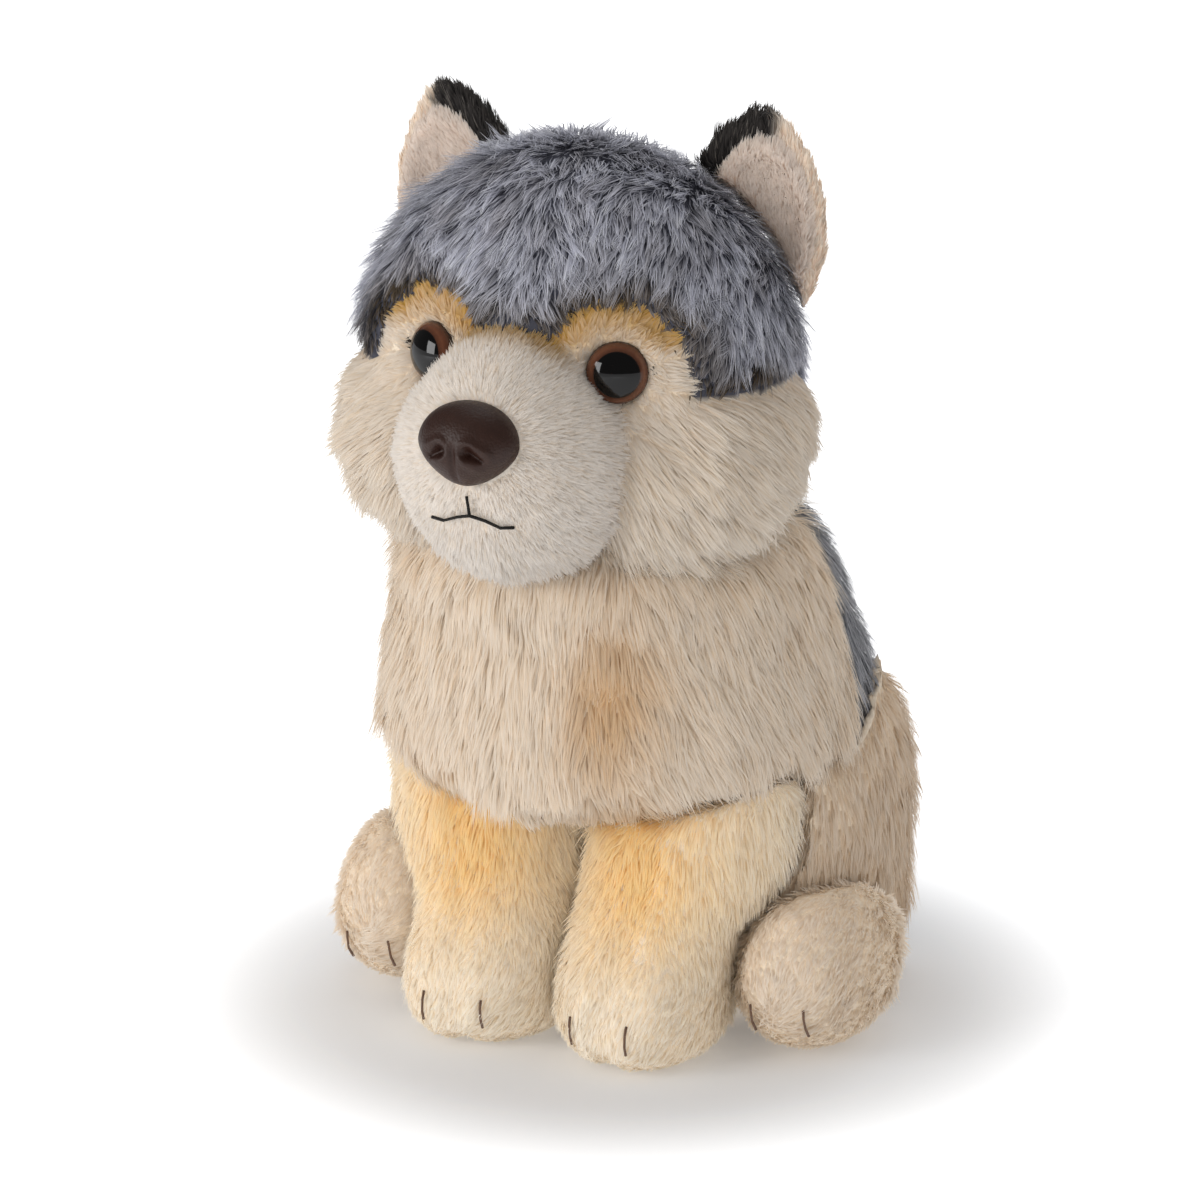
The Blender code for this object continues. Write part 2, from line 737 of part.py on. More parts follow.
def make_eyes(head, filling):
    radius = EYE_DIAMETER / 2
    shank = SHANK_DIAMETER / 2
    bend = [math.radians(angle) for angle in (90, 72, 54, 36, 18, 0)]
    rise = EYE_HEIGHT - EYE_EDGE
    dome = [(radius * math.cos(angle), EYE_EDGE + rise * math.sin(angle)) for angle in bend]
    dome[0] = (0, EYE_HEIGHT)
    profile = dome + [(radius, 0), (shank, 0), (shank, -SHANK_LENGTH), (0, -SHANK_LENGTH)]
    for side, word in ((1, "left"), (-1, "right")):
        out = Vector((side * math.sin(EYE_TURN), -math.cos(EYE_TURN), math.sin(EYE_TILT))).normalized()
        on_skin, _ = surface_point(head, (side * EYE_SPACING / 2, -REACH, EYE_LEVEL), (0, 1, 0))
        place = aimed(on_skin - out * EYE_SINK, out)
        stud = turned(profile, place)
        skins = [f"face_{word}", "head_cap", "muzzle"]
        depth = CAP_PILE - EYE_SINK + WASHER_ROOM
        fasten(f"eye_{word}", f"eye_washer_{word}", stud, place, skins, filling, depth)


def make_nose(muzzle, filling):
    on_skin, _ = surface_point(muzzle, (0, -REACH, NOSE_LEVEL), (0, 1, 0))
    out = Vector((0, -math.cos(NOSE_TILT), math.sin(NOSE_TILT)))
    place = aimed(on_skin - out * NOSE_SINK, out)
    bm = bmesh.new()
    dome = 0.64 * NOSE_DEPTH
    size = Matrix.Diagonal((NOSE_WIDTH / 2, NOSE_HEIGHT / 2, dome, 1))
    bmesh.ops.create_uvsphere(bm, u_segments=16, v_segments=8, radius=1, matrix=size)
    for point in bm.verts:
        rounder = abs(point.co.x) / (NOSE_WIDTH / 2)
        lower = max(0.0, -point.co.y / (NOSE_HEIGHT / 2))
        point.co.x *= 1 - 0.28 * lower**1.6
        point.co.z += 0.0008 * (1 - rounder**2) * (1 - lower)
        point.co.z = max(point.co.z + NOSE_DEPTH - dome, 0.0)
    nose = as_object("nose", bm)
    thin = SHANK_DIAMETER / 2
    stem = [(0, 0), (thin, 0), (thin, -SHANK_LENGTH), (0, -SHANK_LENGTH)]
    shank = turned(stem, Matrix.Identity(4), 12)
    boolean(nose, shank, "UNION")
    drop(shank)
    for side in (-1, 1):
        bm = bmesh.new()
        size = Matrix.Diagonal((NOSTRIL_WIDTH / 2, NOSTRIL_WIDTH * 0.36, NOSTRIL_WIDTH * 0.7, 1))
        tilt = Matrix.Rotation(side * math.radians(-28), 4, "Z")
        at = Matrix.Translation((side * NOSE_WIDTH * 0.21, -NOSE_HEIGHT * 0.10, 0.95 * NOSE_DEPTH))
        bmesh.ops.create_uvsphere(bm, u_segments=6, v_segments=4, radius=1, matrix=at @ tilt @ size)
        nostril = as_object("nostril", bm)
        boolean(nose, nostril, "DIFFERENCE")
        drop(nostril)
    nose.data.transform(place)
    depth = MUZZLE_PILE - NOSE_SINK + WASHER_ROOM
    fasten("nose", "nose_washer", nose, place, ["muzzle"], filling, depth)


def stitched(points, thickness, name):
    """A laid thread: a tube of four sides along its points."""
    curve = bpy.data.curves.new(name, "CURVE")
    curve.dimensions = "3D"
    curve.bevel_depth = thickness / 2
    curve.bevel_resolution = 1
    curve.use_fill_caps = True
    spline = curve.splines.new("POLY")
    spline.points.add(len(points) - 1)
    for slot, point in zip(spline.points, points):
        slot.co = (*point, 1)
    guide = bpy.data.objects.new(name, curve)
    bpy.context.collection.objects.link(guide)
    graph = bpy.context.evaluated_depsgraph_get()
    mesh = bpy.data.meshes.new_from_object(guide.evaluated_get(graph))
    drop(guide)
    bm = bmesh.new()
    bm.from_mesh(mesh)
    bmesh.ops.remove_doubles(bm, verts=bm.verts, dist=WELD)
    return as_object(name, bm)


def laid_on(shape, outline, thickness):
    """Points of an (x, z) line laid on a form's front, clear of it by the running gap."""
    points = []
    for x, z in outline:
        place, normal = surface_point(shape, (x, -REACH, z), (0, 1, 0))
        points.append(place + normal * (thickness / 2 + GAP + THREAD_LIFT))
    return points


def make_mouth(muzzle):
    top = NOSE_LEVEL - NOSE_HEIGHT / 2 - 0.0028
    middle = top - 0.0050
    half = MOUTH_WIDTH / 2
    drop_line = [(0, top), (0, top - 0.0025), (0, middle)]
    smile = [
        (-half, middle - 0.0018),
        (-half * 0.7, middle - 0.0022),
        (-half * 0.35, middle - 0.0008),
        (0, middle),
    ]
    smile += [(-x, z) for x, z in reversed(smile[:-1])]
    down = stitched(laid_on(muzzle, drop_line, MOUTH_THREAD), MOUTH_THREAD, "mouth_thread")
    across = stitched(laid_on(muzzle, smile, MOUTH_THREAD), MOUTH_THREAD, "across")
    boolean(down, across, "UNION")
    drop(across)
    finished(down, "mouth_thread", fabric["black"])


def make_toe_threads(form, paw_x, front, level, width, paw_word, skins):
    """Two threads in the creases beside the middle toe, pressed into the skin."""
    for place, word in ((-1, "inner"), (1, "outer")):
        name = f"{paw_word}_toe_thread_{word}_left"
        x = paw_x + place * width / 6
        points = []
        for step in range(THREAD_POINTS):
            rise = TOE_THREAD_LENGTH * step / (THREAD_POINTS - 1)
            at, normal = surface_point(form, (x, front - 0.05, level + rise - 0.001), (0, 1, -0.15))
            points.append(at + normal * (TOE_THREAD / 2 + GAP + THREAD_LIFT))
        thread = finished(stitched(points, TOE_THREAD, name), name, fabric["brown"])
        for skin in skins:
            clear_of(bpy.data.objects[skin], thread)


def make_front_leg(side, word, torso):
    form = front_leg_form(side)
    skin, filling = skin_and_filling(form, LEG_PILE, torso)
    middle = side * FRONT_LEG_SPACING / 2
    paw_x = side * FRONT_PAW_SPACING / 2
    seam = [(paw_x, -REACH), (paw_x, FRONT_PAW_LEVEL), (middle, OVERHANG_LEVEL), (middle, REACH)]
    out_side = seam + [(side * REACH, REACH), (side * REACH, -REACH)]
    outer_zone = prism(out_side, "y", -REACH, REACH)
    wide_zone = grown(outer_zone, GAP)
    outer = keep_main(boolean(copy_of(skin), outer_zone, "INTERSECT"))
    inner = keep_main(boolean(skin, wide_zone, "DIFFERENCE"))
    drop(outer_zone, wide_zone)
    finished(outer, f"front_leg_outer_{word}", fabric["leg"])
    finished(inner, f"front_leg_inner_{word}", fabric["leg"])
    finished(filling, f"front_leg_stuffing_{word}", fabric["fibre"])
    return form


def make_left_side(torso):
    leg = make_front_leg(1, "left", torso)
    haunch_shape = haunch_form(1)
    haunch, haunch_filling = skin_and_filling(haunch_shape, LEG_PILE, torso, leg)
    paw_shape = rear_paw_form(1)
    paw, paw_filling = skin_and_filling(paw_shape, LEG_PILE, haunch_shape, leg, torso)
    finished(haunch, "haunch_left", fabric["cream"])
    finished(haunch_filling, "haunch_stuffing_left", fabric["fibre"])
    finished(paw, "rear_paw_left", fabric["leg"])
    finished(paw_filling, "rear_paw_stuffing_left", fabric["fibre"])
    make_toe_threads(
        leg,
        FRONT_PAW_SPACING / 2,
        -FRONT_PAW_FORWARD - FRONT_PAW_LENGTH / 2,
        FRONT_PAW_LEVEL,
        FRONT_PAW_WIDTH,
        "front",
        ["front_leg_outer_left", "front_leg_inner_left"],
    )
    make_toe_threads(
        paw_shape,
        REAR_PAW_SPACING / 2,
        -REAR_PAW_FORWARD - REAR_PAW_LENGTH / 2,
        REAR_TOE_LEVEL,
        REAR_PAW_WIDTH,
        "rear",
        ["rear_paw_left"],
    )
    tail_shape = tail_form()
    tail, tail_filling = skin_and_filling(tail_shape, LEG_PILE, torso, haunch_shape)
    finished(tail, "tail", fabric["grey"])
    finished(tail_filling, "tail_stuffing", fabric["fibre"])
    drop(leg, haunch_shape, paw_shape, tail_shape)


def make_right_side():
    """Mirrors the sewn limbs of the left side."""
    for shape in list(bpy.data.objects):
        paired = shape.name.endswith("_left") and not shape.name.startswith(("face", "ear", "eye"))
        if paired:
            mirrored(shape, shape.name.replace("_left", "_right"))


clear_scene()
fabric = {
    "cream": material("cream long pile", CREAM, 0.9),
    "pale": material("off-white short pile", PALE_CREAM, 0.9),
    "leg": material("cream leg pile", LEG_CREAM, 0.9),
    "grey": material("grey long pile", GREY, 0.9),
    "dark": material("dark grey ear pile", DARK_GREY, 0.9),
    "lining": material("ear lining pile", LINING, 0.9),
    "fibre": material("white filling fibre", FIBRE, 0.95),
    "eye": material("brown and black eye plastic", EYE_BROWN, 0.08),
    "nose": material("dark brown nose plastic", NOSE_BROWN, 0.4),
    "washer": material("white washer plastic", WASHER_WHITE, 0.5),
    "black": material("black thread", THREAD_BLACK, 0.7),
    "brown": material("dark brown thread", THREAD_BROWN, 0.7),
}
body_form = make_body()
head_shape, muzzle_shape = make_head(body_form)
head_filling = bpy.data.objects["head_stuffing"]
make_eyes(head_shape, head_filling)
make_nose(muzzle_shape, head_filling)
make_mouth(muzzle_shape)
make_left_side(body_form)
make_right_side()
drop(body_form, head_shape, muzzle_shape)
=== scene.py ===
"""The looks of a sitting plush wolf pup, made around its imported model."""

import math

import bmesh
import bpy
import numpy as np
from mathutils import Matrix, Vector, bvhtree, kdtree, noise


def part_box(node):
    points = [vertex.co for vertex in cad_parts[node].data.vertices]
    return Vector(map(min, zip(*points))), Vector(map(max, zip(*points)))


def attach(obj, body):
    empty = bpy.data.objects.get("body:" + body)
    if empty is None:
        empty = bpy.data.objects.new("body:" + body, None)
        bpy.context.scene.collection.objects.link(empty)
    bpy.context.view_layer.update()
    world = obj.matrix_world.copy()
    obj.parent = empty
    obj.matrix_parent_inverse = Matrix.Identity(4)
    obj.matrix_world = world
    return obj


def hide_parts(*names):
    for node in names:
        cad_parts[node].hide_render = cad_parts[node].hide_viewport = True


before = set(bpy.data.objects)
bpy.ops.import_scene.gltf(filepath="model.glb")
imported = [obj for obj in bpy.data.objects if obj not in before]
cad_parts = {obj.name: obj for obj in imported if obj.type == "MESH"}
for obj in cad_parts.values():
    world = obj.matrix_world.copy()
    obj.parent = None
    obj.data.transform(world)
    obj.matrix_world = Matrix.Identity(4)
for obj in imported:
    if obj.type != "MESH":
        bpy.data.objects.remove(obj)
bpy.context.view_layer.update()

# Camera, light and floor. The toy stands on a plain white table in soft daylight that comes
# mostly from the camera's left, as in a product photograph.

AIM = Vector((0.0, -0.020, 0.108))
CAMERA_TURN = math.radians(26.0)
CAMERA_RISE = math.radians(16.5)
CAMERA_DISTANCE = 1.176
VIEW_WIDTH = 0.2948
SENSOR = 36.0


def linear(colour):
    """An sRGB hex colour such as F2E2CB as linear red, green and blue."""
    parts = [int(colour[i : i + 2], 16) / 255 for i in (0, 2, 4)]
    return tuple(c / 12.92 if c <= 0.04045 else ((c + 0.055) / 1.055) ** 2.4 for c in parts)


def add(tree, kind, settings=None, **links):
    """Adds a node: settings are its properties, links its inputs, by name or number with an underscore."""
    made = tree.nodes.new(kind)
    for key, value in (settings or {}).items():
        setattr(made, key, value)
    for key, value in links.items():
        socket = made.inputs[int(key[1:])] if key[1:].isdigit() else made.inputs[key.replace("_", " ")]
        if isinstance(value, bpy.types.NodeSocket):
            tree.links.new(value, socket)
        else:
            socket.default_value = value
    return made


def blank_material(name):
    """A material with only its output node, and that node."""
    made = bpy.data.materials.new(name)
    made.use_nodes = True
    made.node_tree.nodes.clear()
    return made, made.node_tree, made.node_tree.nodes.new("ShaderNodeOutputMaterial")


toward_camera = Vector(
    (
        math.sin(CAMERA_TURN) * math.cos(CAMERA_RISE),
        -math.cos(CAMERA_TURN) * math.cos(CAMERA_RISE),
        math.sin(CAMERA_RISE),
    )
)
camera = bpy.data.objects.new("camera", bpy.data.cameras.new("camera"))
bpy.context.collection.objects.link(camera)
camera.location = AIM + toward_camera * CAMERA_DISTANCE
camera.rotation_euler = toward_camera.to_track_quat("Z", "Y").to_euler()
camera.data.sensor_width = SENSOR
camera.data.lens = SENSOR * CAMERA_DISTANCE / VIEW_WIDTH
bpy.context.scene.camera = camera
bpy.context.scene.view_settings.view_transform = "Standard"


def softbox(name, way, distance, size, power):
    """A square soft light that shines at the toy from a direction."""
    lamp = bpy.data.lights.new(name, "AREA")
    lamp.size = size
    lamp.energy = power
    light = bpy.data.objects.new(name, lamp)
    bpy.context.collection.objects.link(light)
    way = Vector(way).normalized()
    light.location = AIM + way * distance
    light.rotation_euler = way.to_track_quat("Z", "Y").to_euler()
    return light


softbox("window_light", (-0.70, -1.00, 0.30), 1.1, 0.50, 4.3)
fill = softbox("fill_light", (0.45, -1.00, 0.06), 1.3, 0.60, 2.0)
fill.visible_glossy = False
softbox("top_light", (-0.10, 0.25, 1.00), 1.2, 0.70, 1.6)
softbox("back_light", (0.25, 1.00, 0.35), 1.4, 0.80, 2.4)

SKY_LIGHT = 0.52
SKY_GLEAM = 0.12
world = bpy.data.worlds.new("studio")
world.use_nodes = True
world.node_tree.nodes.clear()
tree = world.node_tree
rays = add(tree, "ShaderNodeLightPath")
seen = add(tree, "ShaderNodeMath", {"operation": "MAXIMUM"}, _0=rays.outputs["Is Camera Ray"], _1=rays.outputs["Is Transmission Ray"])
gleam = add(tree, "ShaderNodeMapRange", None, Value=rays.outputs["Is Glossy Ray"], To_Min=SKY_LIGHT, To_Max=SKY_GLEAM)
light_level = add(tree, "ShaderNodeMapRange", None, Value=seen.outputs[0], To_Min=gleam.outputs[0], To_Max=1.0)
sky = add(tree, "ShaderNodeBackground", None, Color=(1, 1, 1, 1), Strength=light_level.outputs[0])
add(tree, "ShaderNodeOutputWorld", None, Surface=sky.outputs[0])
bpy.context.scene.world = world

FLOOR_REACH = 6.0
FLOOR_LIFT = 0.12
FAR_FLOOR = 0.9
BOUNCE = 0.32
bm = bmesh.new()
bmesh.ops.create_grid(bm, x_segments=1, y_segments=1, size=FLOOR_REACH)
floor_mesh = bpy.data.meshes.new("floor")
bm.to_mesh(floor_mesh)
bm.free()
floor = bpy.data.objects.new("floor", floor_mesh)
bpy.context.collection.objects.link(floor)
floor.location.z = -0.0002
# Matt white lacquer that keeps the toy's soft cast shadow. For the camera it also glows, pure white far out, but the
# glow fades towards the toy, which paints shade on the floor round its base.
paint, tree, output = blank_material("white lacquered table")
rays = add(tree, "ShaderNodeLightPath")
matt = add(tree, "ShaderNodeBsdfDiffuse", None, Color=(*linear("E7E8EA"), 1))
where = add(tree, "ShaderNodeNewGeometry")
off = add(tree, "ShaderNodeVectorMath", {"operation": "LENGTH"}, _0=where.outputs["Position"])
# Painted shade: the glow is weakest within 7.5 cm of the origin under the toy, and full beyond 15 cm
lift = add(tree, "ShaderNodeMapRange", {"interpolation_type": "SMOOTHSTEP"}, Value=off.outputs["Value"],
           From_Min=0.075, From_Max=0.150, To_Min=FLOOR_LIFT, To_Max=FAR_FLOOR)
glow = add(tree, "ShaderNodeEmission", None, Color=(1, 1, 1, 1), Strength=lift.outputs[0])
lifted = add(tree, "ShaderNodeAddShader", None, _0=matt.outputs[0], _1=glow.outputs[0])
# The table goes on under the lights, so it sends more light up at the toy than this floor would
upward = add(tree, "ShaderNodeEmission", None, Color=(1, 1, 1, 1), Strength=BOUNCE)
bright = add(tree, "ShaderNodeAddShader", None, _0=matt.outputs[0], _1=upward.outputs[0])
either = add(tree, "ShaderNodeMixShader", None, _0=rays.outputs["Is Camera Ray"], _1=bright.outputs[0], _2=lifted.outputs[0])
tree.links.new(either.outputs[0], output.inputs["Surface"])
floor_mesh.materials.append(paint)


# The filling: loose white polyester fibre, one lump in each sewn part. It is inside the
# skins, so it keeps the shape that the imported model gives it.


def fibre_material():
    """Hollow polyester fibre, blown in: dull white with tangled strands a millimetre apart."""
    made, tree, output = blank_material("hollow polyester fibre")
    place = add(tree, "ShaderNodeTexCoord")
    tangle = add(tree, "ShaderNodeTexNoise", None, Vector=place.outputs["Object"], Scale=900.0, Detail=4.0)
    tint = add(tree, "ShaderNodeMix", {"data_type": "RGBA"}, _0=tangle.outputs[0])
    tint.inputs[6].default_value = (*linear("DCDCDA"), 1)
    tint.inputs[7].default_value = (*linear("F6F6F4"), 1)
    bump = add(tree, "ShaderNodeBump", None, Strength=0.6, Distance=0.0006, Height=tangle.outputs[0])
    shader = add(tree, "ShaderNodeBsdfPrincipled", None, Base_Color=tint.outputs[2], Roughness=0.95)
    shader.inputs["Sheen Weight"].default_value = 0.4
    tree.links.new(bump.outputs[0], shader.inputs["Normal"])
    tree.links.new(shader.outputs[0], output.inputs["Surface"])
    return made


def dress(node, finish):
    """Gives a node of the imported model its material."""
    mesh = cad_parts[node].data
    mesh.materials.clear()
    mesh.materials.append(finish)


fibre = fibre_material()
for node in sorted(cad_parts):
    if node.endswith("stuffing") or "_stuffing_" in node:
        dress(node, fibre)


# The sewn skins: knitted backing with a dense underfur, cut as panels, sewn inside out,
# turned and filled. Each is one closed bag that swells between its seams.

SKIN_VOXEL = 0.0022
EAR_VOXEL = 0.0011
SEAM_VALLEY = 0.0014
SEAM_WIDTH = 0.0030
SMOOTHING = 6
FILLING_ROOM = 0.0005
POKE = 0.0012
SWELL = 0.0008
SWELL_FRAMES = 20
PILE_DEPTH = {
    "chest_panel": 0.0018,
    "back_panel": 0.0014,
    "seat_panel": 0.0010,
    "head_cap": 0.0016,
    "face_left": 0.0014,
    "face_right": 0.0014,
    "muzzle": 0.0006,
    "ear_back_left": 0.0008,
    "ear_back_right": 0.0008,
    "ear_front_left": 0.0006,
    "ear_front_right": 0.0006,
    "front_leg_outer_left": 0.0008,
    "front_leg_outer_right": 0.0008,
    "front_leg_inner_left": 0.0008,
    "front_leg_inner_right": 0.0008,
    "haunch_left": 0.0020,
    "haunch_right": 0.0020,
    "rear_paw_left": 0.0008,
    "rear_paw_right": 0.0008,
    "tail": 0.0012,
}


def new_object(name, mesh):
    made = bpy.data.objects.new(name, mesh)
    bpy.context.collection.objects.link(made)
    return made


def evaluated(made):
    """The mesh that an object's modifiers give, without the modifiers."""
    graph = bpy.context.evaluated_depsgraph_get()
    mesh = bpy.data.meshes.new_from_object(made.evaluated_get(graph))
    made.modifiers.clear()
    made.data = mesh
    return mesh


def points_of(mesh):
    places = np.empty(len(mesh.vertices) * 3)
    mesh.vertices.foreach_get("co", places)
    return places.reshape(-1, 3)


def normals_of(mesh):
    ways = np.empty(len(mesh.vertices) * 3)
    mesh.vertex_normals.foreach_get("vector", ways)
    return ways.reshape(-1, 3)


def tree_of(node):
    """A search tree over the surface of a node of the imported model."""
    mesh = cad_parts[node].data
    mesh.calc_loop_triangles()
    corners = [tuple(point.co) for point in mesh.vertices]
    return bvhtree.BVHTree.FromPolygons(corners, [tuple(face.vertices) for face in mesh.loop_triangles])


def gap_to(trees, places):
    """How far each place is from each of several surfaces: one column for each."""
    return np.array([[tree.find_nearest(place)[3] for tree in trees] for place in places.tolist()])


def room_over(tree, places):
    """How far each place is outside a surface: below 0 where it is just inside."""
    room = []
    for place in places.tolist():
        at, way, _, gap = tree.find_nearest(place)
        inside = gap < POKE and (Vector(place) - at).dot(way) < 0
        room.append(-gap if inside else gap)
    return np.array(room)


def main_body(bm):
    """Deletes all but the largest connected body, so that no pocket stays inside."""
    left = set(bm.verts)
    bodies = []
    while left:
        reached = [left.pop()]
        body = list(reached)
        while reached:
            point = reached.pop()
            for edge in point.link_edges:
                other = edge.other_vert(point)
                if other in left:
                    left.discard(other)
                    body.append(other)
                    reached.append(other)
        bodies.append(body)
    bodies.sort(key=len)
    for crumb in bodies[:-1]:
        bmesh.ops.delete(bm, geom=crumb, context="VERTS")


def swell(made, seam):
    """Cloth simulation: the filling pushes the skin out between its seams, by SWELL at most."""
    pins = made.vertex_groups.new(name="seams")
    for number, hold in enumerate(seam.tolist()):
        pins.add([number], hold, "REPLACE")
    before = points_of(made.data)
    cloth = made.modifiers.new("Cloth", "CLOTH")
    cloth.settings.quality = 4
    cloth.settings.mass = 0.15
    cloth.settings.use_pressure = True
    cloth.settings.uniform_pressure_force = 4.0
    cloth.settings.effector_weights.gravity = 0.0
    cloth.settings.vertex_group_mass = "seams"
    cloth.point_cache.frame_start, cloth.point_cache.frame_end = 1, SWELL_FRAMES
    for number in range(1, SWELL_FRAMES + 1):
        bpy.context.scene.frame_set(number)
    mesh = evaluated(made)
    move = points_of(mesh) - before
    far = np.maximum(np.linalg.norm(move, axis=1, keepdims=True) / SWELL, 1.0)
    mesh.vertices.foreach_set("co", (before + move / far).ravel())
    mesh.update()
    made.vertex_groups.clear()
    bpy.context.scene.frame_set(1)


def sewn_skin(name, panels, fillings, voxel):
    """A closed skin over panels and their filling, drawn in under the pile and into its seams."""
    bm = bmesh.new()
    for node in panels + fillings:
        bm.from_mesh(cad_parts[node].data)
    bmesh.ops.remove_doubles(bm, verts=bm.verts, dist=0.000001)
    mesh = bpy.data.meshes.new(name)
    bm.to_mesh(mesh)
    bm.free()
    made = new_object(name, mesh)
    remesh = made.modifiers.new("Remesh", "REMESH")
    remesh.mode = "VOXEL"
    remesh.voxel_size = voxel
    mesh = evaluated(made)
    bm = bmesh.new()
    bm.from_mesh(mesh)
    main_body(bm)
    for _ in range(SMOOTHING):
        bmesh.ops.smooth_vert(bm, verts=bm.verts, factor=0.5, use_axis_x=True, use_axis_y=True, use_axis_z=True)
    bm.to_mesh(mesh)
    bm.free()

    trees = [tree_of(node) for node in panels]
    places = points_of(mesh)
    gaps = gap_to(trees, places)
    nearest = gaps.argmin(axis=1)
    if len(panels) > 1:
        two = np.sort(gaps, axis=1)[:, :2]
        seam = np.exp(-(((two[:, 1] - two[:, 0]) / SEAM_WIDTH) ** 2))
    else:
        seam = np.zeros(len(places))
    depth = np.array([PILE_DEPTH[node] for node in panels])[nearest] + SEAM_VALLEY * seam
    for node in fillings:
        room = room_over(tree_of(node), places)
        depth = np.minimum(depth, room - FILLING_ROOM)
    places -= normals_of(mesh) * depth[:, None]
    mesh.vertices.foreach_set("co", places.ravel())
    mesh.update()
    swell(made, seam)
    mesh = made.data
    mesh.shade_smooth()
    made["panels"] = panels
    zone = mesh.attributes.new("panel", "INT", "POINT")
    zone.data.foreach_set("value", nearest.astype(np.int32))
    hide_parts(*panels)
    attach(made, "root")
    return made


both = ("left", "right")
skins = {}
skins["body"] = sewn_skin("body_skin", ["chest_panel", "back_panel", "seat_panel"], ["body_stuffing"], SKIN_VOXEL)
skins["head"] = sewn_skin("head_skin", ["head_cap", "face_left", "face_right", "muzzle"], ["head_stuffing"], SKIN_VOXEL)
skins["tail"] = sewn_skin("tail_skin", ["tail"], ["tail_stuffing"], SKIN_VOXEL)
for side in both:
    leg_panels = [f"front_leg_outer_{side}", f"front_leg_inner_{side}"]
    skins[f"front_leg_{side}"] = sewn_skin(f"front_leg_skin_{side}", leg_panels, [f"front_leg_stuffing_{side}"], SKIN_VOXEL)
    skins[f"haunch_{side}"] = sewn_skin(f"haunch_skin_{side}", [f"haunch_{side}"], [f"haunch_stuffing_{side}"], SKIN_VOXEL)
    skins[f"rear_paw_{side}"] = sewn_skin(f"rear_paw_skin_{side}", [f"rear_paw_{side}"], [f"rear_paw_stuffing_{side}"], SKIN_VOXEL)
    skins[f"ear_{side}"] = sewn_skin(f"ear_skin_{side}", [f"ear_back_{side}", f"ear_front_{side}"], [], EAR_VOXEL)


# The pile: acrylic hair tufted into the backing, combed, in locks. Each hair of the render
# stands for a small bundle of real ones, which are a twentieth of a millimetre thick.

TONES = 8
DYES = 8
SPARE = 1.7
COVER = 0.0012
UP = np.array((0.0, 0.0, 1.0))


def unit(ways):
    return ways / np.maximum(np.linalg.norm(ways, axis=-1, keepdims=True), 1e-9)


def step(low, high, values):
    """A smooth step from 0 at low to 1 at high."""
    t = np.clip((values - low) / (high - low), 0.0, 1.0)
    return t * t * (3 - 2 * t)


def spot_at(spots, centre, size):
    """1 at a place, fading to nothing over a size, for airbrushed colour."""
    gap = (spots - np.array(centre)) / np.array(size)
    return np.exp(-(gap**2).sum(axis=1))


def skin_tree(skin):
    mesh = skin.data
    mesh.calc_loop_triangles()
    return bvhtree.BVHTree.FromPolygons(points_of(mesh).tolist(), [tuple(face.vertices) for face in mesh.loop_triangles])


skin_trees = {name: skin_tree(skin) for name, skin in skins.items()}


def open_to_air(part, spots, ways):
    """Which places aren't pressed against another part of the toy."""
    others = [tree for name, tree in skin_trees.items() if name != part]
    free = []
    for spot, way in zip(spots.tolist(), ways.tolist()):
        start = Vector(spot)
        free.append(all(tree.ray_cast(start, Vector(way), COVER)[0] is None for tree in others))
    return np.array(free)


def roots(part, panel, count, rng):
    """Evenly scattered places on one panel of a skin, with the way that the skin faces there."""
    mesh = skins[part].data
    mesh.calc_loop_triangles()
    corners = np.empty(len(mesh.loop_triangles) * 3, np.int32)
    mesh.loop_triangles.foreach_get("vertices", corners)
    corners = corners.reshape(-1, 3)
    zone = np.empty(len(mesh.vertices), np.int32)
    mesh.attributes["panel"].data.foreach_get("value", zone)
    index = list(skins[part]["panels"]).index(panel)
    corners = corners[(zone[corners] == index).sum(axis=1) >= 2]
    places, ways = points_of(mesh), normals_of(mesh)
    a, b, c = (places[corners[:, k]] for k in range(3))
    areas = np.linalg.norm(np.cross(b - a, c - a), axis=1)
    chosen = rng.choice(len(corners), size=count, p=areas / areas.sum())
    u, v = rng.random(count), rng.random(count)
    over = u + v > 1
    u[over], v[over] = 1 - u[over], 1 - v[over]
    share = np.stack([1 - u - v, u, v], axis=1)
    spots = np.einsum("nk,nkj->nj", share, places[corners[chosen]])
    return spots, unit(np.einsum("nk,nkj->nj", share, ways[corners[chosen]]))


def blades(name, count):
    """Many copies of one flat hair: a strip of two lengths that is closed to a point."""
    bm = bmesh.new()
    bmesh.ops.create_grid(bm, x_segments=1, y_segments=2, size=0.5)
    tip = [point for point in bm.verts if point.co.y > 0.49]
    bmesh.ops.pointmerge(bm, verts=tip, merge_co=(0.0, 0.5, 0.0))
    one = bpy.data.meshes.new(name)
    bm.to_mesh(one)
    bm.free()
    shape = points_of(one)
    made = new_object(name, one)
    repeat = made.modifiers.new("Array", "ARRAY")
    repeat.count = count
    repeat.use_relative_offset = False
    evaluated(made)
    return made, np.sign(np.round(shape[:, 0], 3)), np.round(shape[:, 1] + 0.5, 3)


def lock_leaders(spots, spacing):
    """Gathers hairs into locks: for each hair, the number of the one that leads its lock."""
    cells = {}
    for number, cell in enumerate(np.floor(spots / spacing).astype(int).tolist()):
        cells.setdefault(tuple(cell), number)
    leaders = sorted(cells.values())
    seen = kdtree.KDTree(len(leaders))
    for number in leaders:
        seen.insert(spots[number], number)
    seen.balance()
    return np.array([seen.find(spot)[1] for spot in spots.tolist()])


def drift(spots, scale, seed):
    """A slow swirl over the skin, so that the pile isn't combed like a brush."""
    offset = Vector((seed * 3.1, seed * 1.7, seed * 0.9))
    return np.array([noise.noise_vector(Vector(spot) * scale + offset)[:] for spot in spots.tolist()])


